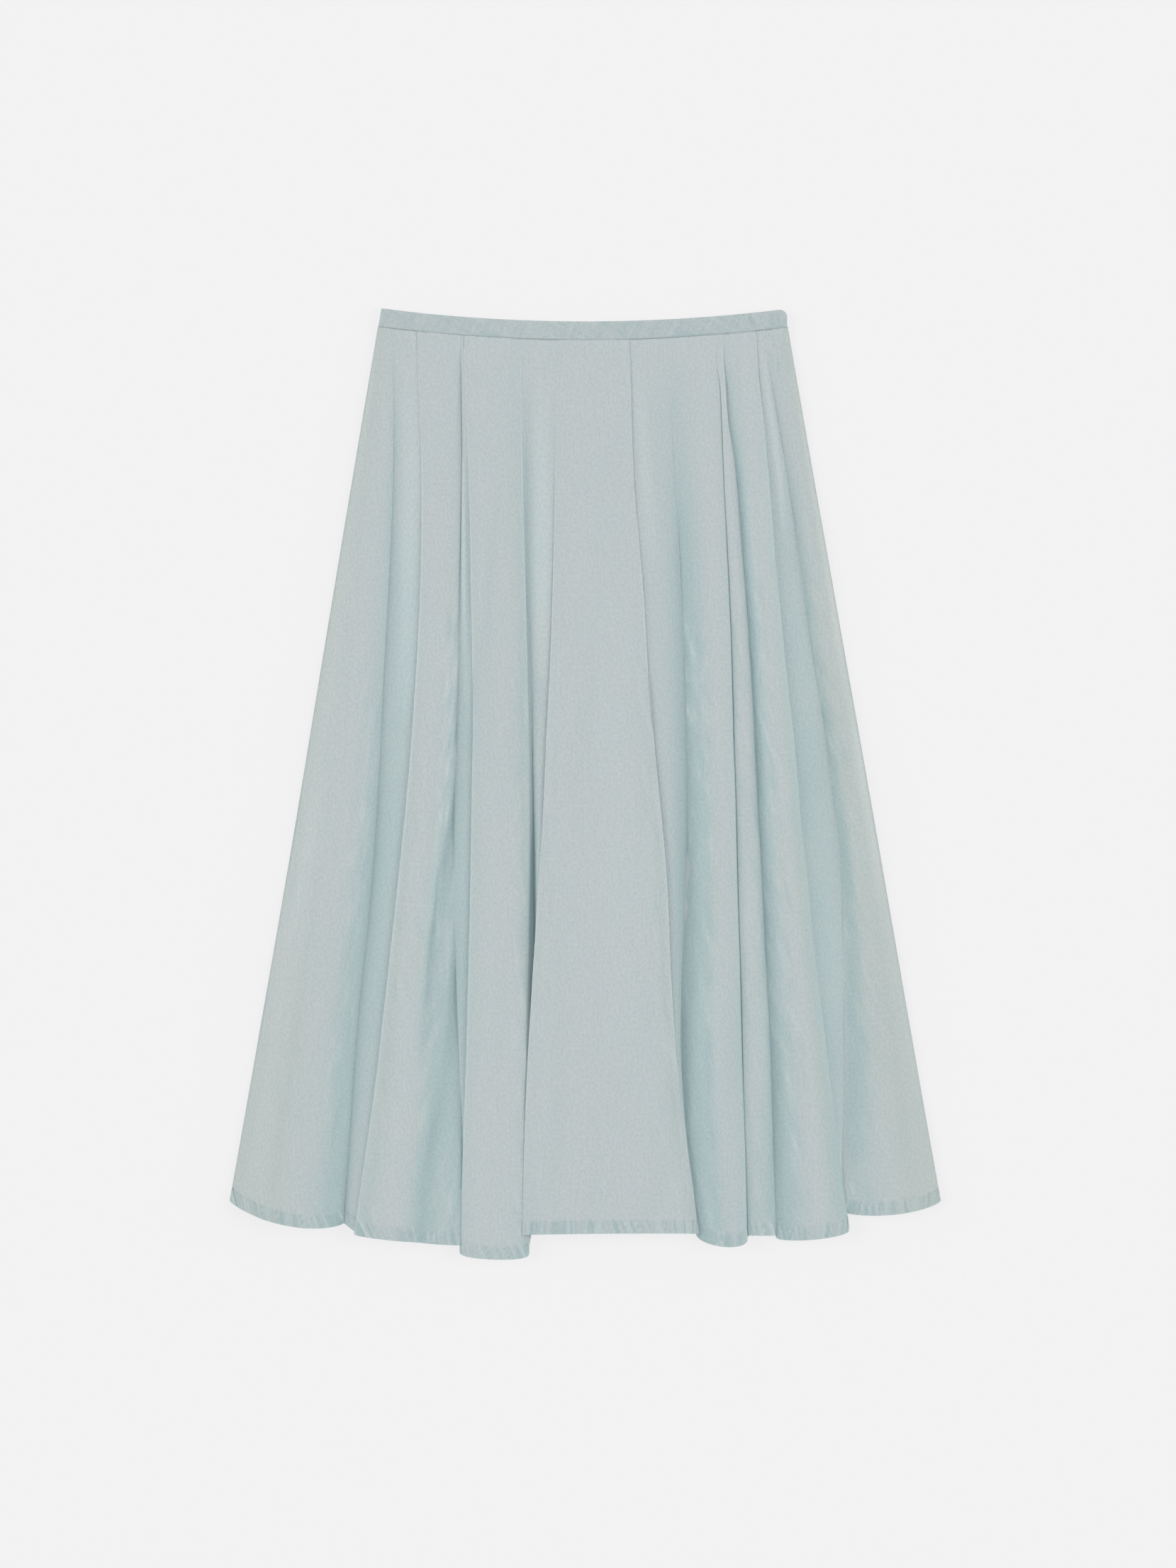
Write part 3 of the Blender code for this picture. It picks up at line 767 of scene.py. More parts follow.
def painted_valley_shade(points):
    """Painted shade: how deep each point lies below the highest cloth near it, from 0 on a fold's
    top to 1.

    Cloth further away counts for less: its height is lowered by PAINTED_SHADE_FALL times the square
    of its distance, where 1 is PAINTED_SHADE_COLUMNS away. The mark darkens the valleys between the
    folds as painted shade. The outer slopes of the two side folds lie open, so it fades to 0 there.
    """
    z = points[..., 2]
    beside = np.pad(z, ((0, 0), (PAINTED_SHADE_COLUMNS, PAINTED_SHADE_COLUMNS)), mode="edge")
    windows = np.lib.stride_tricks.sliding_window_view(beside, 2 * PAINTED_SHADE_COLUMNS + 1, axis=1)
    falls = PAINTED_SHADE_FALL * np.linspace(-1, 1, 2 * PAINTED_SHADE_COLUMNS + 1) ** 2
    depth = np.clip(((windows - falls).max(axis=-1) - z) / PAINTED_SHADE_DEPTH, 0, 1)
    x = points[..., 0]
    left = smooth(ACROSS_AT, CREASES[1].across, np.linspace(0, 1, len(x)))[:, None]
    right = smooth(ACROSS_AT, CREASES[-2].across, np.linspace(0, 1, len(x)))[:, None]
    inward = np.minimum((x - x[:, :1]) / (left - x[:, :1]), (x[:, -1:] - x) / (x[:, -1:] - right))
    return depth * step_up(inward, *PAINTED_SHADE_INWARD)


def painted_shade_kept(folds):
    """How much of the painted valley shade each column keeps, made smooth over a few columns."""
    faded = np.array([WALLS[name].faded if name in WALLS else 0.0 for name in folds])
    weights = bell(np.arange(-PAINTED_SHADE_EVEN_COLUMNS, PAINTED_SHADE_EVEN_COLUMNS + 1), PAINTED_SHADE_EVEN_COLUMNS / 2)
    beside = np.pad(faded, PAINTED_SHADE_EVEN_COLUMNS, mode="edge")
    return 1 - np.convolve(beside, weights / weights.sum(), mode="valid")[None, :]


def yellower_and_painted_shade(points, t):
    """Yellower and darker cloth outwards on the two side folds and at their edges: the darkening is
    painted shade.
    """
    x = points[..., 0]
    outwards = np.where(x < 0, x / x[:, :1], x / x[:, -1:])
    left, right = (
        strength * step_up(t, *downwards)[:, None] * step_up(outwards, *sideways)
        for strength, downwards, sideways in (YELLOWER_SHADE_LEFT, YELLOWER_SHADE_RIGHT)
    )
    to_side = np.minimum(x - x[:, :1], x[:, -1:] - x)
    upper = 1 - step_up(t, *YELLOWER_SHADE_EDGE_END)[:, None]
    at_edge = YELLOWER_SHADE_EDGE * upper * bell(to_side, YELLOWER_SHADE_EDGE_REACH)
    return np.maximum(np.where(x < 0, left, right), at_edge)


def tones(mark, folds, shares, t):
    """Sum of the stripes of one mark: a bell across the fold, faded in and out by a sine."""
    total = np.zeros((len(t), len(folds)))
    for tone in TONES:
        if tone.mark == mark:
            across = np.where(folds == tone.fold, bell(shares - tone.share, tone.half_width), 0)
            length = np.clip((t - tone.top) / (tone.bottom - tone.top), 0, 1)
            total += tone.strength * across[None, :] * np.sin(np.pi * length)[:, None]
    return total


def slow_unevenness(across, down, size):
    """Broad rise and fall of laid cloth: plane waves of random phase on the flat cut."""
    random = np.random.default_rng(SEEDS["waves"])
    lift = np.zeros_like(across)
    for _ in range(WAVES):
        wide = random.uniform(*WAVES_WIDE) * random.choice((-1, 1))
        long = random.uniform(*WAVES_LONG)
        phase = random.uniform(0, 2 * np.pi)
        lift += np.sin(2 * np.pi * (across / wide + down / long) + phase)
    return size * lift / np.sqrt(WAVES) * step_up(down, 0, WAVES_START)


def edge_ripple(across, seed):
    """Small uneven ripple along a sewn edge, from -1 to 1: a sum of sines of a few lengths.

    Each is stretched and squeezed along the edge, and grows and fades at its own pace. The
    longer it is the weaker it is, by the square root.
    """
    random = np.random.default_rng(seed)
    total = np.zeros_like(across)
    for length in RIPPLE_LENGTHS:
        turn = 2 * np.pi * across / length
        first, second, third = random.uniform(0, 2 * np.pi, 3)
        strength = 0.5 + 0.5 * np.sin(turn / RIPPLE_GROWTH + first)
        stretch = RIPPLE_STRETCH_SIZE * length * np.sin(turn / RIPPLE_STRETCH + second)
        wave = np.sin(2 * np.pi * (across + stretch) / length + third)
        total += strength * np.sqrt(RIPPLE_FULL_LENGTH / length) * wave
    return np.clip(total / RIPPLE_SUM, -1, 1)


def shell_mesh(name, points, normal, thickness, outer_up, flat, marks, row_step, column_step):
    """A closed wall: the seen side on the full grid, the hidden side on every few lines of it.

    Each hidden point is a seen one moved back by the thickness, and the rim joins the two.
    """
    rows, columns = points.shape[:2]
    side = 1 if outer_up else -1
    seen = points + side * normal * (thickness / 2)[..., None]
    r = np.arange(0, rows, row_step)
    c = np.arange(0, columns, column_step)
    pick = np.ix_(r, c)
    hidden = seen[pick] - side * normal[pick] * thickness[pick][..., None]
    upper = np.arange(rows * columns).reshape(rows, columns)
    lower = rows * columns + np.arange(len(r) * len(c)).reshape(len(r), len(c))
    faces = []
    for grid, turned_over in ((upper, not outer_up), (lower, outer_up)):
        quads = np.stack([grid[:-1, :-1], grid[1:, :-1], grid[1:, 1:], grid[:-1, 1:]], axis=-1)
        quads = quads.reshape(-1, 4)
        faces.extend((quads[:, ::-1] if turned_over else quads).tolist())
    edges = (
        (upper[0], lower[0], column_step, True), (upper[-1], lower[-1], column_step, False),
        (upper[:, 0], lower[:, 0], row_step, False), (upper[:, -1], lower[:, -1], row_step, True),
    )
    for fine, coarse, step, forward in edges:
        for k in range(len(coarse) - 1):
            face = fine[k * step:(k + 1) * step + 1].tolist() + [coarse[k + 1], coarse[k]]
            faces.append(face if forward == outer_up else face[::-1])
    vertices = np.concatenate([seen.reshape(-1, 3), hidden.reshape(-1, 3)])
    flat = np.stack(flat, axis=-1)
    flat = np.concatenate([flat.reshape(-1, 2), flat[pick].reshape(-1, 2)]) * MM
    marks = {mark: np.concatenate([grid.ravel(), grid[pick].ravel()])
             for mark, grid in marks.items()}
    return make_object(name, vertices, faces, flat, marks)


def make_object(name, vertices, faces, flat, marks):
    """An object with its place in its mesh, a UV map of the flat cloth and its marked parts."""
    mesh = bpy.data.meshes.new(name)
    mesh.from_pydata(((vertices + place()) * MM).tolist(), [], faces)
    mesh.update()
    loops = np.empty(len(mesh.loops), dtype=np.int32)
    mesh.loops.foreach_get("vertex_index", loops)
    cloth = mesh.uv_layers.new(name="cloth")
    cloth.uv.foreach_set("vector", flat[loops].astype(np.float32).ravel())
    for mark, values in marks.items():
        layer = mesh.attributes.new(mark, "FLOAT", "POINT")
        layer.data.foreach_set("value", values.astype(np.float32))
    mesh.shade_smooth()
    mesh.set_sharp_from_angle(angle=np.radians(SHARP_DEGREES))
    piece = bpy.data.objects.new(name, mesh)
    bpy.context.scene.collection.objects.link(piece)
    return piece


def at_hem_distance(grid, to_hem, distance):
    """Values of the grid on the line at this distance above the hem, one for each column."""
    rows = (to_hem > distance).sum(axis=0) - 1
    columns = np.arange(grid.shape[1])
    above = to_hem[rows, columns]
    below = to_hem[rows + 1, columns]
    share = ((above - distance) / (above - below))[:, None]
    return mix(grid[rows, columns], grid[rows + 1, columns], share)


def stitch_mesh(name, line, normal, length):
    """A row of stitches along a line: each is a short round thread with tapered ends."""
    walked = along(line, 0)
    pitch = length + STITCH_GAP
    starts = np.arange(int(walked[-1] / pitch)) * pitch + STITCH_GAP / 2
    turns = np.linspace(0, 2 * np.pi, STITCH_CORNERS, endpoint=False)
    stations = starts[:, None] + np.array(STITCH_RINGS)[None, :] * length
    centre = np.stack([np.interp(stations, walked, line[:, k]) for k in range(3)], axis=-1)
    up = unit(np.stack([np.interp(stations, walked, normal[:, k]) for k in range(3)], axis=-1))
    ahead = unit(centre[:, -1:] - centre[:, :1])
    beside = np.cross(np.broadcast_to(ahead, up.shape), up)
    size = (STITCH_RADIUS * np.array(STITCH_FULLNESS))[None, :, None, None]
    round_it = (
        beside[:, :, None] * np.cos(turns)[None, None, :, None]
        + up[:, :, None] * np.sin(turns)[None, None, :, None]
    )
    rise = up[:, :, None] * STITCH_RADIUS * STITCH_RISE
    points = centre[:, :, None] + rise + round_it * size
    index = np.arange(points[..., 0].size).reshape(points.shape[:3])
    after = np.roll(index, -1, axis=2)
    quads = np.stack([index[:, :-1], index[:, 1:], after[:, 1:], after[:, :-1]], axis=-1)
    faces = quads.reshape(-1, 4).tolist()
    faces += index[:, 0].tolist()
    faces += index[:, -1, ::-1].tolist()
    vertices = points.reshape(-1, 3)
    marks = {"doubled": np.zeros(len(vertices)), "painted_shade_and_mottle": np.zeros(len(vertices))}
    return make_object(name, vertices, faces, vertices[:, :2] * MM, marks)


def band_mesh(band, strength):
    """A folded strip along the seam: a rounded oblong section carried across the waist.

    The section is a superellipse: cos and sin raised to the power BAND_SQUARENESS. At the right
    end its top comes down in a quarter circle and the strip rolls under.
    """
    corner_x = band.right_end - BAND_CORNER
    corner_turns = np.radians(np.linspace(BAND_CORNER_START, 90, BAND_CORNER_COLUMNS))
    x = np.concatenate([
        np.linspace(BAND_LEFT + BAND_INSET, corner_x, BAND_COLUMNS),
        corner_x + BAND_CORNER * np.sin(corner_turns),
    ])
    bottom = seam_down(x) + BAND_OVERLAP
    into_corner = np.clip(x - corner_x, 0, BAND_CORNER)
    top = seam_down(x) - BAND_HEIGHT + BAND_CORNER - np.sqrt(BAND_CORNER**2 - into_corner**2)
    turns = np.linspace(0, 2 * np.pi, BAND_AROUND, endpoint=False)
    over = np.sign(np.cos(turns)) * np.abs(np.cos(turns)) ** BAND_SQUARENESS
    up = np.sign(np.sin(turns)) * np.abs(np.sin(turns)) ** BAND_SQUARENESS
    down = mix(top[None, :], bottom[None, :], (1 - over[:, None]) / 2)
    z = band.middle + band.half_thickness * np.broadcast_to(up[:, None], down.shape)
    near_left_end = np.clip(1 - (x - BAND_LEFT) / BAND_SLANT_REACH, 0, 1)
    slanted = x + BAND_SLANT * (bottom - down) * near_left_end
    points = np.stack([slanted, -down, z], axis=-1)
    side = 1 if band.outer_up else -1
    outer = np.clip(side * up, 0, 1)[:, None]
    ripple = edge_ripple(x * BAND_RIPPLE_STRETCH + BAND_RIPPLE_START, SEEDS["band"])
    ripple = BAND_RIPPLE * ripple * bell(down - bottom, BAND_RIPPLE_REACH)
    crease = wrinkle_lift(band.wrinkles, points, None, strength)
    roll = BAND_ROLL_RIGHT * step_up(x, band.right_end - BAND_ROLL_RIGHT_LENGTH, band.right_end)
    roll += BAND_ROLL_LEFT * step_up(-x, -BAND_LEFT - BAND_ROLL_LEFT_LENGTH, -BAND_LEFT)
    points[..., 2] += side * (outer * (ripple + crease) - roll[None, :])
    index = np.arange(points[..., 0].size).reshape(points.shape[:2])
    after = np.roll(index, -1, axis=0)
    quads = np.stack([index[:, :-1], after[:, :-1], after[:, 1:], index[:, 1:]], axis=-1)
    faces = quads.reshape(-1, 4)[:, ::-1].tolist()
    faces.append(index[:, 0].tolist())
    faces.append(index[::-1, -1].tolist())
    around = along(points, 0)
    flat = np.stack([around, np.broadcast_to(x, around.shape)], axis=-1).reshape(-1, 2) * MM
    # Random mottling, and on top of it painted light: painted highlight and shade on the band's
    # creases and a painted shadow along its lower seam.
    mottle_and_painted_light = sum(
        size * edge_ripple(stretch * x + slant * down, seed)
        for size, stretch, slant, seed in BAND_MOTTLES
    )
    mottle_and_painted_light += crease / BAND_RELIEF
    seam_shadow = sum(bell(x - middle, reach) for middle, reach in BAND_SEAM_SHADOW)
    mottle_and_painted_light -= BAND_SEAM_SHADOW_SIZE * seam_shadow * bell(down - bottom, BAND_SEAM_SHADOW_REACH)
    # Painted shade and painted highlight of the band, mixed with its random mottling.
    marks = {
        "doubled": np.full(points[..., 0].size, BAND_DOUBLED),
        "painted_shade_and_mottle": np.clip(BAND_PAINTED_SHADE - mottle_and_painted_light, 0, 1).ravel(),
        "painted_highlight_and_mottle": np.clip(mottle_and_painted_light, 0, 1).ravel(),
    }
    return make_object(band.name, points.reshape(-1, 3), faces, flat, marks)


def node(tree, kind, **values):
    """A new node with some of its settings."""
    made = tree.nodes.new(kind)
    for name, value in values.items():
        setattr(made, name, value)
    return made


def scaled_flat_cloth(tree, across, down):
    """The cloth's UV map, scaled so that one pattern unit is this many millimetres each way."""
    uv = node(tree, "ShaderNodeUVMap", uv_map="cloth")
    mapping = node(tree, "ShaderNodeMapping")
    mapping.inputs["Scale"].default_value = (1 / (across * MM), 1 / (down * MM), 1)
    tree.links.new(uv.outputs["UV"], mapping.inputs["Vector"])
    return mapping.outputs["Vector"]


def noise_between(tree, pattern):
    """Noise on the flat cloth, as a factor that is 0 below the pattern's low and 1 above high."""
    noise = node(tree, "ShaderNodeTexNoise", noise_dimensions="2D")
    noise.inputs["Scale"].default_value = 1.0
    noise.inputs["Detail"].default_value = pattern.detail
    place_on_cloth = scaled_flat_cloth(tree, pattern.across, pattern.down)
    tree.links.new(place_on_cloth, noise.inputs["Vector"])
    spread = node(tree, "ShaderNodeMapRange")
    spread.inputs["From Min"].default_value = pattern.low
    spread.inputs["From Max"].default_value = pattern.high
    tree.links.new(noise.outputs["Fac"], spread.inputs["Value"])
    return spread.outputs["Result"]


def thread_wave(tree, direction, pitch):
    """Threads lying side by side in one direction, this many millimetres apart."""
    wave = node(tree, "ShaderNodeTexWave", wave_type="BANDS", bands_direction=direction)
    wave.inputs["Scale"].default_value = 1 / (2 * np.pi)
    wave.inputs["Distortion"].default_value = THREAD_DISTORTION
    wave.inputs["Detail Scale"].default_value = THREAD_DETAIL_SCALE
    tree.links.new(scaled_flat_cloth(tree, pitch / 2, pitch / 2), wave.inputs["Vector"])
    return wave.outputs["Fac"]


def fill(tree, socket, value):
    """Give a socket a value, or the output of another node."""
    if isinstance(value, bpy.types.NodeSocket):
        tree.links.new(value, socket)
    else:
        socket.default_value = value


def mixed_colour(tree, factor, first, second, blend_type="MIX"):
    """Colour between two, by a factor; each of the three may be a value or an output."""
    blend = node(tree, "ShaderNodeMix", data_type="RGBA", blend_type=blend_type)
    sides = [socket for socket in blend.inputs if socket.type == "RGBA"]
    fill(tree, blend.inputs["Factor"], factor)
    fill(tree, sides[0], first)
    fill(tree, sides[1], second)
    return next(socket for socket in blend.outputs if socket.type == "RGBA")


def toned_colour(tree, ground, colour, plain):
    """The ground's own pattern, changed in tone as the plain cloth's colour changes to another."""
    change = [part / whole for part, whole in zip(colour, plain)] + [1]
    return mixed_colour(tree, 1.0, ground, change, "MULTIPLY")


def tinted(colour, tint):
    """A colour made lighter or darker, with the alpha that sockets want."""
    return [channel * tint for channel in colour[:3]] + [1]


def scaled(tree, value, factor):
    """A factor made weaker."""
    times = node(tree, "ShaderNodeMath", operation="MULTIPLY")
    tree.links.new(value, times.inputs[0])
    times.inputs[1].default_value = factor
    return times.outputs["Value"]


def bumped(tree, height, strength, depth):
    """A bump node raised by a height pattern."""
    bump = node(tree, "ShaderNodeBump")
    bump.inputs["Strength"].default_value = strength
    bump.inputs["Distance"].default_value = depth
    tree.links.new(height, bump.inputs["Height"])
    return bump


def cotton_material(name, cloth, tint):
    """Matt plain-woven cotton with slubs, flecks and patches of warmer and cooler thread.

    Marks on the mesh change its tone: a painted highlight where small creases stand up, with
    random paler mottling on the band; painted shade in the valleys and hollows, with random darker
    mottling on the band; a yellower colour whose darkening is painted shade towards the sides; a
    painted cool light beside some valleys; and a darker colour where two layers lie together.
    """
    material = bpy.data.materials.new(name)
    material.use_nodes = True
    tree = material.node_tree
    shader = tree.nodes["Principled BSDF"]
    base = tinted(cloth.cloth_colour, tint)
    warm = tinted(cloth.warm_colour, tint)
    cool = tinted(cloth.cool_colour, tint)
    flecks = noise_between(tree, FLECKS)
    contrast = cloth.slub_contrast
    layers = (
        (PATCHES, PATCH_CONTRAST, warm),
        (SLUBS, contrast, cool),
        (CROSS_THREADS, contrast / 2, warm),
    )
    ground = base
    for pattern, strength, colour in layers:
        factor = scaled(tree, noise_between(tree, pattern), strength)
        ground = mixed_colour(tree, factor, ground, colour)
    # The first four marks carry painted light: highlight, shade, the yellower mark's darkening and a
    # cool tint.
    marks = (
        ("painted_highlight_and_mottle", cloth.painted_highlight_and_mottle_colour),
        ("painted_shade_and_mottle", cloth.painted_shade_and_mottle_colour),
        ("yellower_and_painted_shade", cloth.yellower_painted_shade_colour),
        ("painted_cool_light", cloth.painted_cool_light_colour),
        ("doubled", cloth.doubled_colour),
    )
    for mark, colour in marks:
        part = node(tree, "ShaderNodeAttribute", attribute_name=mark)
        toned = toned_colour(tree, ground, colour, cloth.cloth_colour)
        ground = mixed_colour(tree, part.outputs["Fac"], ground, toned)
    flecked = toned_colour(tree, ground, cloth.fleck_colour, cloth.cloth_colour)
    ground = mixed_colour(tree, scaled(tree, flecks, cloth.fleck_contrast), ground, flecked)
    tree.links.new(ground, shader.inputs["Base Color"])
    shader.inputs["Roughness"].default_value = cloth.roughness
    shader.inputs["Specular IOR Level"].default_value = COTTON_SPECULAR
    shader.inputs["Sheen Weight"].default_value = cloth.sheen
    shader.inputs["Sheen Roughness"].default_value = SHEEN_ROUGHNESS
    weave = node(tree, "ShaderNodeMath", operation="MULTIPLY")
    tree.links.new(thread_wave(tree, "X", cloth.thread_pitch / MM), weave.inputs[0])
    tree.links.new(thread_wave(tree, "Y", cloth.thread_pitch / MM), weave.inputs[1])
    fine = bumped(tree, weave.outputs["Value"], *WEAVE_BUMP)
    coarse = bumped(tree, flecks, *FLECK_BUMP)
    tree.links.new(fine.outputs["Normal"], coarse.inputs["Normal"])
    tree.links.new(coarse.outputs["Normal"], shader.inputs["Normal"])
    return material


def finish_piece(piece, node_name, material):
    """Give a piece its cotton, its body and the node that it stands for."""
    piece.data.materials.append(material)
    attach(piece, "root")
    if node_name:
        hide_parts(node_name)


def make_floor(stage):
    """A large pale square just under the skirt."""
    mesh = bpy.data.meshes.new("floor")
    corners = ((-1, -1), (1, -1), (1, 1), (-1, 1))
    vertices = [(x * FLOOR_HALF, y * FLOOR_HALF, -FLOOR_BELOW) for x, y in corners]
    mesh.from_pydata(vertices, [], [(0, 1, 2, 3)])
    material = bpy.data.materials.new("floor_paper")
    material.use_nodes = True
    shader = material.node_tree.nodes["Principled BSDF"]
    lit = [channel * (1 - stage.floor_glow) for channel in stage.floor_colour]
    shader.inputs["Base Color"].default_value = (*lit, 1)
    shader.inputs["Emission Color"].default_value = (*stage.floor_colour, 1)
    shader.inputs["Emission Strength"].default_value = stage.floor_glow
    shader.inputs["Roughness"].default_value = 1.0
    shader.inputs["Specular IOR Level"].default_value = 0.0
    mesh.materials.append(material)
    floor = bpy.data.objects.new("floor", mesh)
    bpy.context.scene.collection.objects.link(floor)


def make_sky(scene, stage):
    """Even, slightly cool light from all round."""
    world = bpy.data.worlds.new("soft_sky")
    world.use_nodes = True
    sky = world.node_tree.nodes["Background"]
    sky.inputs["Color"].default_value = (*SKY_COLOUR, 1)
    sky.inputs["Strength"].default_value = stage.sky_strength
    scene.world = world


def make_sun(name, towards, strength):
    """A soft far light that shines from the direction given."""
    light = bpy.data.lights.new(name, "SUN")
    light.energy = strength
    light.angle = np.radians(SUN_SOFTNESS)
    light.color = SUN_COLOUR
    lamp = bpy.data.objects.new(name, light)
    lamp.rotation_mode = "QUATERNION"
    lamp.rotation_quaternion = Vector(towards).to_track_quat("Z", "Y")
    lamp.location = Vector(towards) * SUN_DISTANCE
    bpy.context.scene.collection.objects.link(lamp)


def make_camera(scene, stage):
    """A camera straight above the skirt, with the waist at the top of the picture."""
    camera = bpy.data.cameras.new("camera")
    camera.lens = stage.lens
    camera.sensor_width = SENSOR
    eye = bpy.data.objects.new("camera", camera)
    eye.location = (*PICTURE_MIDDLE, FOCUS_HEIGHT + stage.view_height * stage.lens / SENSOR)
    scene.collection.objects.link(eye)
    scene.camera = eye
    scene.view_settings.view_transform = "Standard"
    scene.view_settings.look = "None"


def colour_setting(name, description, default):
    """A colour of a settings group."""
    return FloatVectorProperty(name=name, description=description, subtype="COLOR", size=3,
                               min=0, max=1, default=default)


def share_setting(name, description, default, highest=1):
    """A share from 0, of a settings group."""
    return FloatProperty(name=name, description=description, subtype="FACTOR",
                         min=0, max=highest, default=default)


def length_setting(name, description, default, lowest, highest):
    """A length in metres, of a settings group."""
    return FloatProperty(name=name, description=description, unit="LENGTH",
                         min=lowest, max=highest, default=default, precision=5)


class SkirtClothSettings(PropertyGroup):
    """The cotton's colours and finish."""
    cloth_colour: colour_setting(
        "Cloth", "Main colour of the cotton", (0.569, 0.575, 0.592))
    warm_colour: colour_setting(
        "Warm thread", "Colour of the warmer patches and cross threads", (0.586, 0.578, 0.590))
    cool_colour: colour_setting(
        "Cool thread", "Colour of the slubs down the length", (0.515, 0.558, 0.580))
    doubled_colour: colour_setting(
        "Doubled cloth", "Colour where the cloth is folded on itself", (0.528, 0.544, 0.561))
    # Painted shade: darker, bluer colour in the valleys between the folds and in the hollows of
    # puckers; on the band the same colour also gives random darker mottling.
    painted_shade_and_mottle_colour: colour_setting(
        "Painted valley shade", "Colour between the folds, where the cloth is less worn",
        (0.454, 0.523, 0.538))
    # Yellower and darker colour towards the sides and the lower corners; the darkening is painted
    # shade.
    yellower_painted_shade_colour: colour_setting(
        "Yellower shaded cloth", "Colour towards the sides and the lower corners, where the cloth has yellowed",
        (0.524, 0.545, 0.532))
    # Painted cool light: a teal tint on the walls beside some valleys.
    painted_cool_light_colour: colour_setting(
        "Painted cool light", "Colour beside the valleys, where the cloth is greener",
        (0.517, 0.579, 0.594))
    # Painted highlight: paler colour on raised creases and puckers; on the band the same colour also
    # gives random paler mottling.
    painted_highlight_and_mottle_colour: colour_setting(
        "Painted highlight", "Colour on small raised creases, where the cloth is paler",
        (0.592, 0.632, 0.650))
    fleck_colour: colour_setting(
        "Flecks", "Colour of the small darker flecks of thread", (0.512, 0.520, 0.536))
    slub_contrast: share_setting("Slub contrast", "How strongly the slubs show", 0.45)
    fleck_contrast: share_setting("Fleck contrast", "How strongly the flecks show", 0.75)
    roughness: share_setting("Roughness", "How matt the cotton is", 0.9)
    sheen: share_setting("Sheen", "Soft light on the fibres at grazing angles", 0.15)
    thread_pitch: length_setting(
        "Thread pitch", "Distance from one thread to the next", 0.00045, 0.0001, 0.002)


class SkirtShapeSettings(PropertyGroup):
    """Sizes of the cloth, its hem and its creases."""
    thickness: length_setting(
        "Cloth thickness", "Thickness of one layer of cloth", 0.0005, 0.0002, 0.001)
    hem_turn: length_setting(
        "Turned hem", "Height of the hem from its stitches to its edge", 0.011, 0.005, 0.02)
    wrinkles: share_setting(
        "Wrinkles", "Strength of the creases and puckers on the folds", 1.0, 2)
    unevenness: length_setting(
        "Unevenness", "Size of the cloth's slow rise and fall", 0.0004, 0, 0.003)
    stitch_length: length_setting("Stitch", "Length of one hem stitch", 0.0026, 0.001, 0.006)
    back_columns: IntProperty(
        name="Back columns", description="Grid steps across the back panel",
        min=40, max=400, default=200)


class SkirtStageSettings(PropertyGroup):
    """The floor, the camera and the lights."""
    floor_colour: colour_setting("Floor", "Colour of the pale floor", (0.897, 0.887, 0.888))
    view_height: length_setting(
        "View height", "Length of the floor from the picture's bottom to its top", 1.3455, 0.5, 5)
    lens: FloatProperty(
        name="Lens", description="Focal length", subtype="DISTANCE_CAMERA",
        min=20, max=300, default=100)
    sky_strength: FloatProperty(
        name="Sky", description="Brightness of the light from all round", min=0, max=5, default=0.50)
    side_strength: FloatProperty(
        name="Side lights", description="Brightness of the soft light from each side",
        min=0, max=10, default=2.3)
    side_height_degrees: FloatProperty(
        name="Side height", description="How high the side lights stand, in degrees",
        min=5, max=80, default=22)
    floor_glow: share_setting(
        "Floor glow", "Share of the floor's brightness that no shadow dims", 0.85)


class SKIRT_OT_stage(Operator):
    """Makes the pale floor, the soft lights and the camera straight above the skirt"""
    bl_idname = "skirt.stage"
    bl_label = "Stage"

    def execute(self, context):
        stage = context.scene.skirt_stage
        make_floor(stage)
        make_sky(context.scene, stage)
        height = np.radians(stage.side_height_degrees)
        for name, side in (("left_light", -1), ("right_light", 1)):
            towards = (side * np.cos(height), SUN_LEAN, np.sin(height))
            make_sun(name, towards, stage.side_strength)
        make_camera(context.scene, stage)
        return {"FINISHED"}


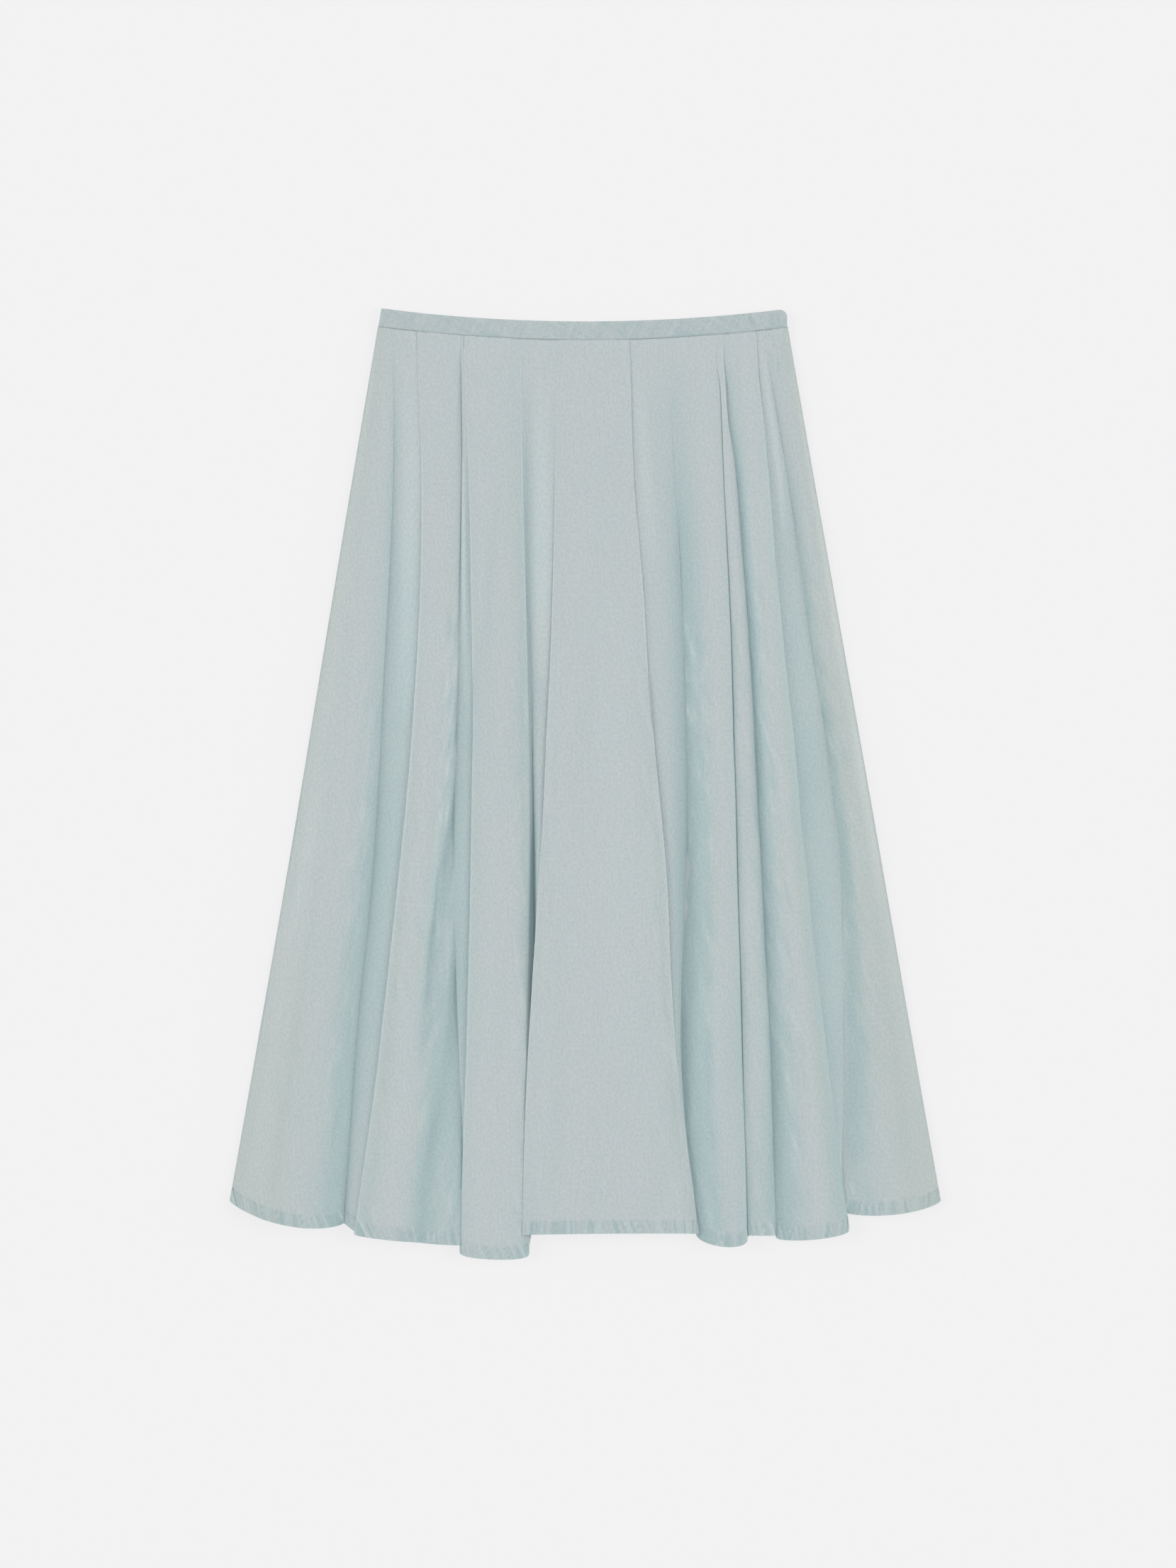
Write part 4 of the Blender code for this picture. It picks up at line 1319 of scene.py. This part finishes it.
class SKIRT_OT_front(Operator):
    """Makes the front panel with its folds, creases and turned hem, and the stitches of the hem"""
    bl_idname = "skirt.front"
    bl_label = "Front panel"

    def execute(self, context):
        shape = context.scene.skirt_shape
        strength = shape.wrinkles
        uneven = shape.unevenness / MM
        turn = shape.hem_turn / MM
        t = row_shares()
        points, folds, shares = front_middle(t, uneven)
        across, down = flat_cut(points)
        to_hem = above_hem(points)
        near_hem = 1 - step_up(to_hem, turn, turn + HEM_FADE)
        slant = HEM_SLANT + HEM_SLANT_CHANGE * np.sin(across / HEM_SLANT_PACE)
        ripple = edge_ripple(across + slant * to_hem, SEEDS["hem"])
        waist_ripple = edge_ripple(across * WAIST_STRETCH, SEEDS["waist"])
        wrinkles = wrinkle_lift(WRINKLES, points, folds, strength)
        puckers = pucker_lift(points, folds, shares, t, strength)
        puckers += strength * WAIST_RIPPLE * waist_ripple * bell(down, WAIST_REACH)
        lift = puckers + strength * HEM_RIPPLE * ripple * near_hem
        lift += slow_unevenness(across, down, uneven)
        lift -= GROOVE * bell(to_hem - turn, GROOVE_REACH)
        on_crown = np.array([name in CROWNS for name in folds])[None, :]
        lift = wrinkles + lift * np.where(on_crown, 1.0, WALL_RELIEF)
        points = points + normals(points) * lift[..., None]
        points[..., 2] -= SIDE_BEND * by_sides(points)
        points[..., 2] -= SEAM_BEND * bell(down, SEAM_REACH)
        normal = normals(points)
        turned = turned_up(to_hem, turn)
        thickness = shape.thickness / MM * (1 + HEM_THICKER * turned)
        # Painted highlight on raised puckers, wrinkles and hem ripple, and painted shade in their
        # hollows
        raised = puckers / PUCKER_RELIEF + np.clip(wrinkles, 0, None) / RIDGE_RELIEF
        raised += HEM_CONTRAST * ripple * mix(ABOVE_HEM * near_hem, 1.0, turned)
        extra = {mark: tones(mark, folds, shares, t) for mark in ("painted_shade_and_mottle", "yellower_and_painted_shade", "painted_cool_light")}
        # Painted shade in the valleys between the folds, less on the walls that have lost some of it
        painted_shade_and_mottle = painted_valley_shade(points) * painted_shade_kept(folds)
        # The marks below carry painted light: shade, highlight, the yellower mark's darkening and a
        # cool tint beside valleys
        marks = {
            "doubled": turned,
            "painted_shade_and_mottle": np.clip(painted_shade_and_mottle + extra["painted_shade_and_mottle"] - raised, 0, 1),
            "painted_highlight_and_mottle": np.clip(raised, 0, 1),
            "yellower_and_painted_shade": np.clip(yellower_and_painted_shade(points, t) + extra["yellower_and_painted_shade"], 0, 1),
            "painted_cool_light": np.clip(extra["painted_cool_light"], 0, 1),
        }
        front = shell_mesh("front_cloth", points, normal, thickness, True, (across, down), marks,
                           INNER_ROW_STEP, INNER_COLUMN_STEP)
        cotton = cotton_material("front_cotton", context.scene.skirt_cloth, 1.0)
        finish_piece(front, NODE_OF["front_cloth"], cotton)
        surface = points + normal * (thickness / 2)[..., None]
        stitches = stitch_mesh(
            "front_hem_stitches", at_hem_distance(surface, to_hem, turn),
            at_hem_distance(normal, to_hem, turn), shape.stitch_length / MM)
        thread = cotton_material("hem_thread", context.scene.skirt_cloth, THREAD_TINT)
        finish_piece(stitches, None, thread)
        return {"FINISHED"}


class SKIRT_OT_back(Operator):
    """Makes the back panel, which lies under the front, with its own soft creases and hem"""
    bl_idname = "skirt.back"
    bl_label = "Back panel"

    def execute(self, context):
        shape = context.scene.skirt_shape
        turn = shape.hem_turn / MM
        points = back_middle(row_shares(), shape.back_columns)
        across, down = flat_cut(points)
        to_hem = above_hem(points)
        ripple = 1 + edge_ripple(across, SEEDS["back hem"])
        lift = wrinkle_lift(BACK_WRINKLES, points, None, shape.wrinkles)
        lift += BACK_UNEVEN * np.abs(slow_unevenness(across, down, shape.unevenness / MM))
        lift += BACK_HEM_RIPPLE * ripple * bell(to_hem - turn, BACK_HEM_REACH)
        points[..., 2] += np.clip(lift, 0, None)
        points[..., 2] += BACK_SIDE_LIFT * by_sides(points)
        turned = turned_up(to_hem, turn)
        thickness = np.full(points.shape[:2], shape.thickness / MM)
        marks = {"doubled": turned, "painted_shade_and_mottle": np.zeros_like(turned)}
        back = shell_mesh("back_cloth", points, normals(points), thickness, False, (across, down),
                          marks, INNER_ROW_STEP, INNER_COLUMN_STEP)
        cotton = cotton_material("back_cotton", context.scene.skirt_cloth, 1.0)
        finish_piece(back, NODE_OF["back_cloth"], cotton)
        return {"FINISHED"}


class SKIRT_OT_waistband(Operator):
    """Makes the front and back halves of the narrow folded waistband"""
    bl_idname = "skirt.waistband"
    bl_label = "Waistband"

    def execute(self, context):
        strength = context.scene.skirt_shape.wrinkles
        cotton = cotton_material("band_cotton", context.scene.skirt_cloth, BAND_TINT)
        for half in BANDS:
            band = band_mesh(half, strength)
            finish_piece(band, NODE_OF[half.name], cotton)
        return {"FINISHED"}


class SKIRT_PT_panel(Panel):
    """Shows the settings and a button for each operator"""
    bl_label = "Skirt"
    bl_idname = "SKIRT_PT_panel"
    bl_space_type = "VIEW_3D"
    bl_region_type = "UI"
    bl_category = "Skirt"

    def draw(self, context):
        scene = context.scene
        for settings in (scene.skirt_shape, scene.skirt_cloth, scene.skirt_stage):
            box = self.layout.box()
            for name in settings.__annotations__:
                box.prop(settings, name)
        for operator in OPERATORS:
            self.layout.operator(operator.bl_idname)


OPERATORS = (SKIRT_OT_stage, SKIRT_OT_back, SKIRT_OT_front, SKIRT_OT_waistband)
SETTINGS = {
    "skirt_cloth": SkirtClothSettings,
    "skirt_shape": SkirtShapeSettings,
    "skirt_stage": SkirtStageSettings,
}


def register():
    """Register the settings, the operators and the panel."""
    for name, group in SETTINGS.items():
        bpy.utils.register_class(group)
        setattr(bpy.types.Scene, name, PointerProperty(type=group))
    for operator in OPERATORS:
        bpy.utils.register_class(operator)
    bpy.utils.register_class(SKIRT_PT_panel)


def unregister():
    """Take away what register added."""
    bpy.utils.unregister_class(SKIRT_PT_panel)
    for operator in reversed(OPERATORS):
        bpy.utils.unregister_class(operator)
    for name, group in SETTINGS.items():
        delattr(bpy.types.Scene, name)
        bpy.utils.unregister_class(group)


def main():
    """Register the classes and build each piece."""
    register()
    bpy.ops.skirt.stage()
    bpy.ops.skirt.back()
    bpy.ops.skirt.front()
    bpy.ops.skirt.waistband()


if __name__ == "__main__":
    main()
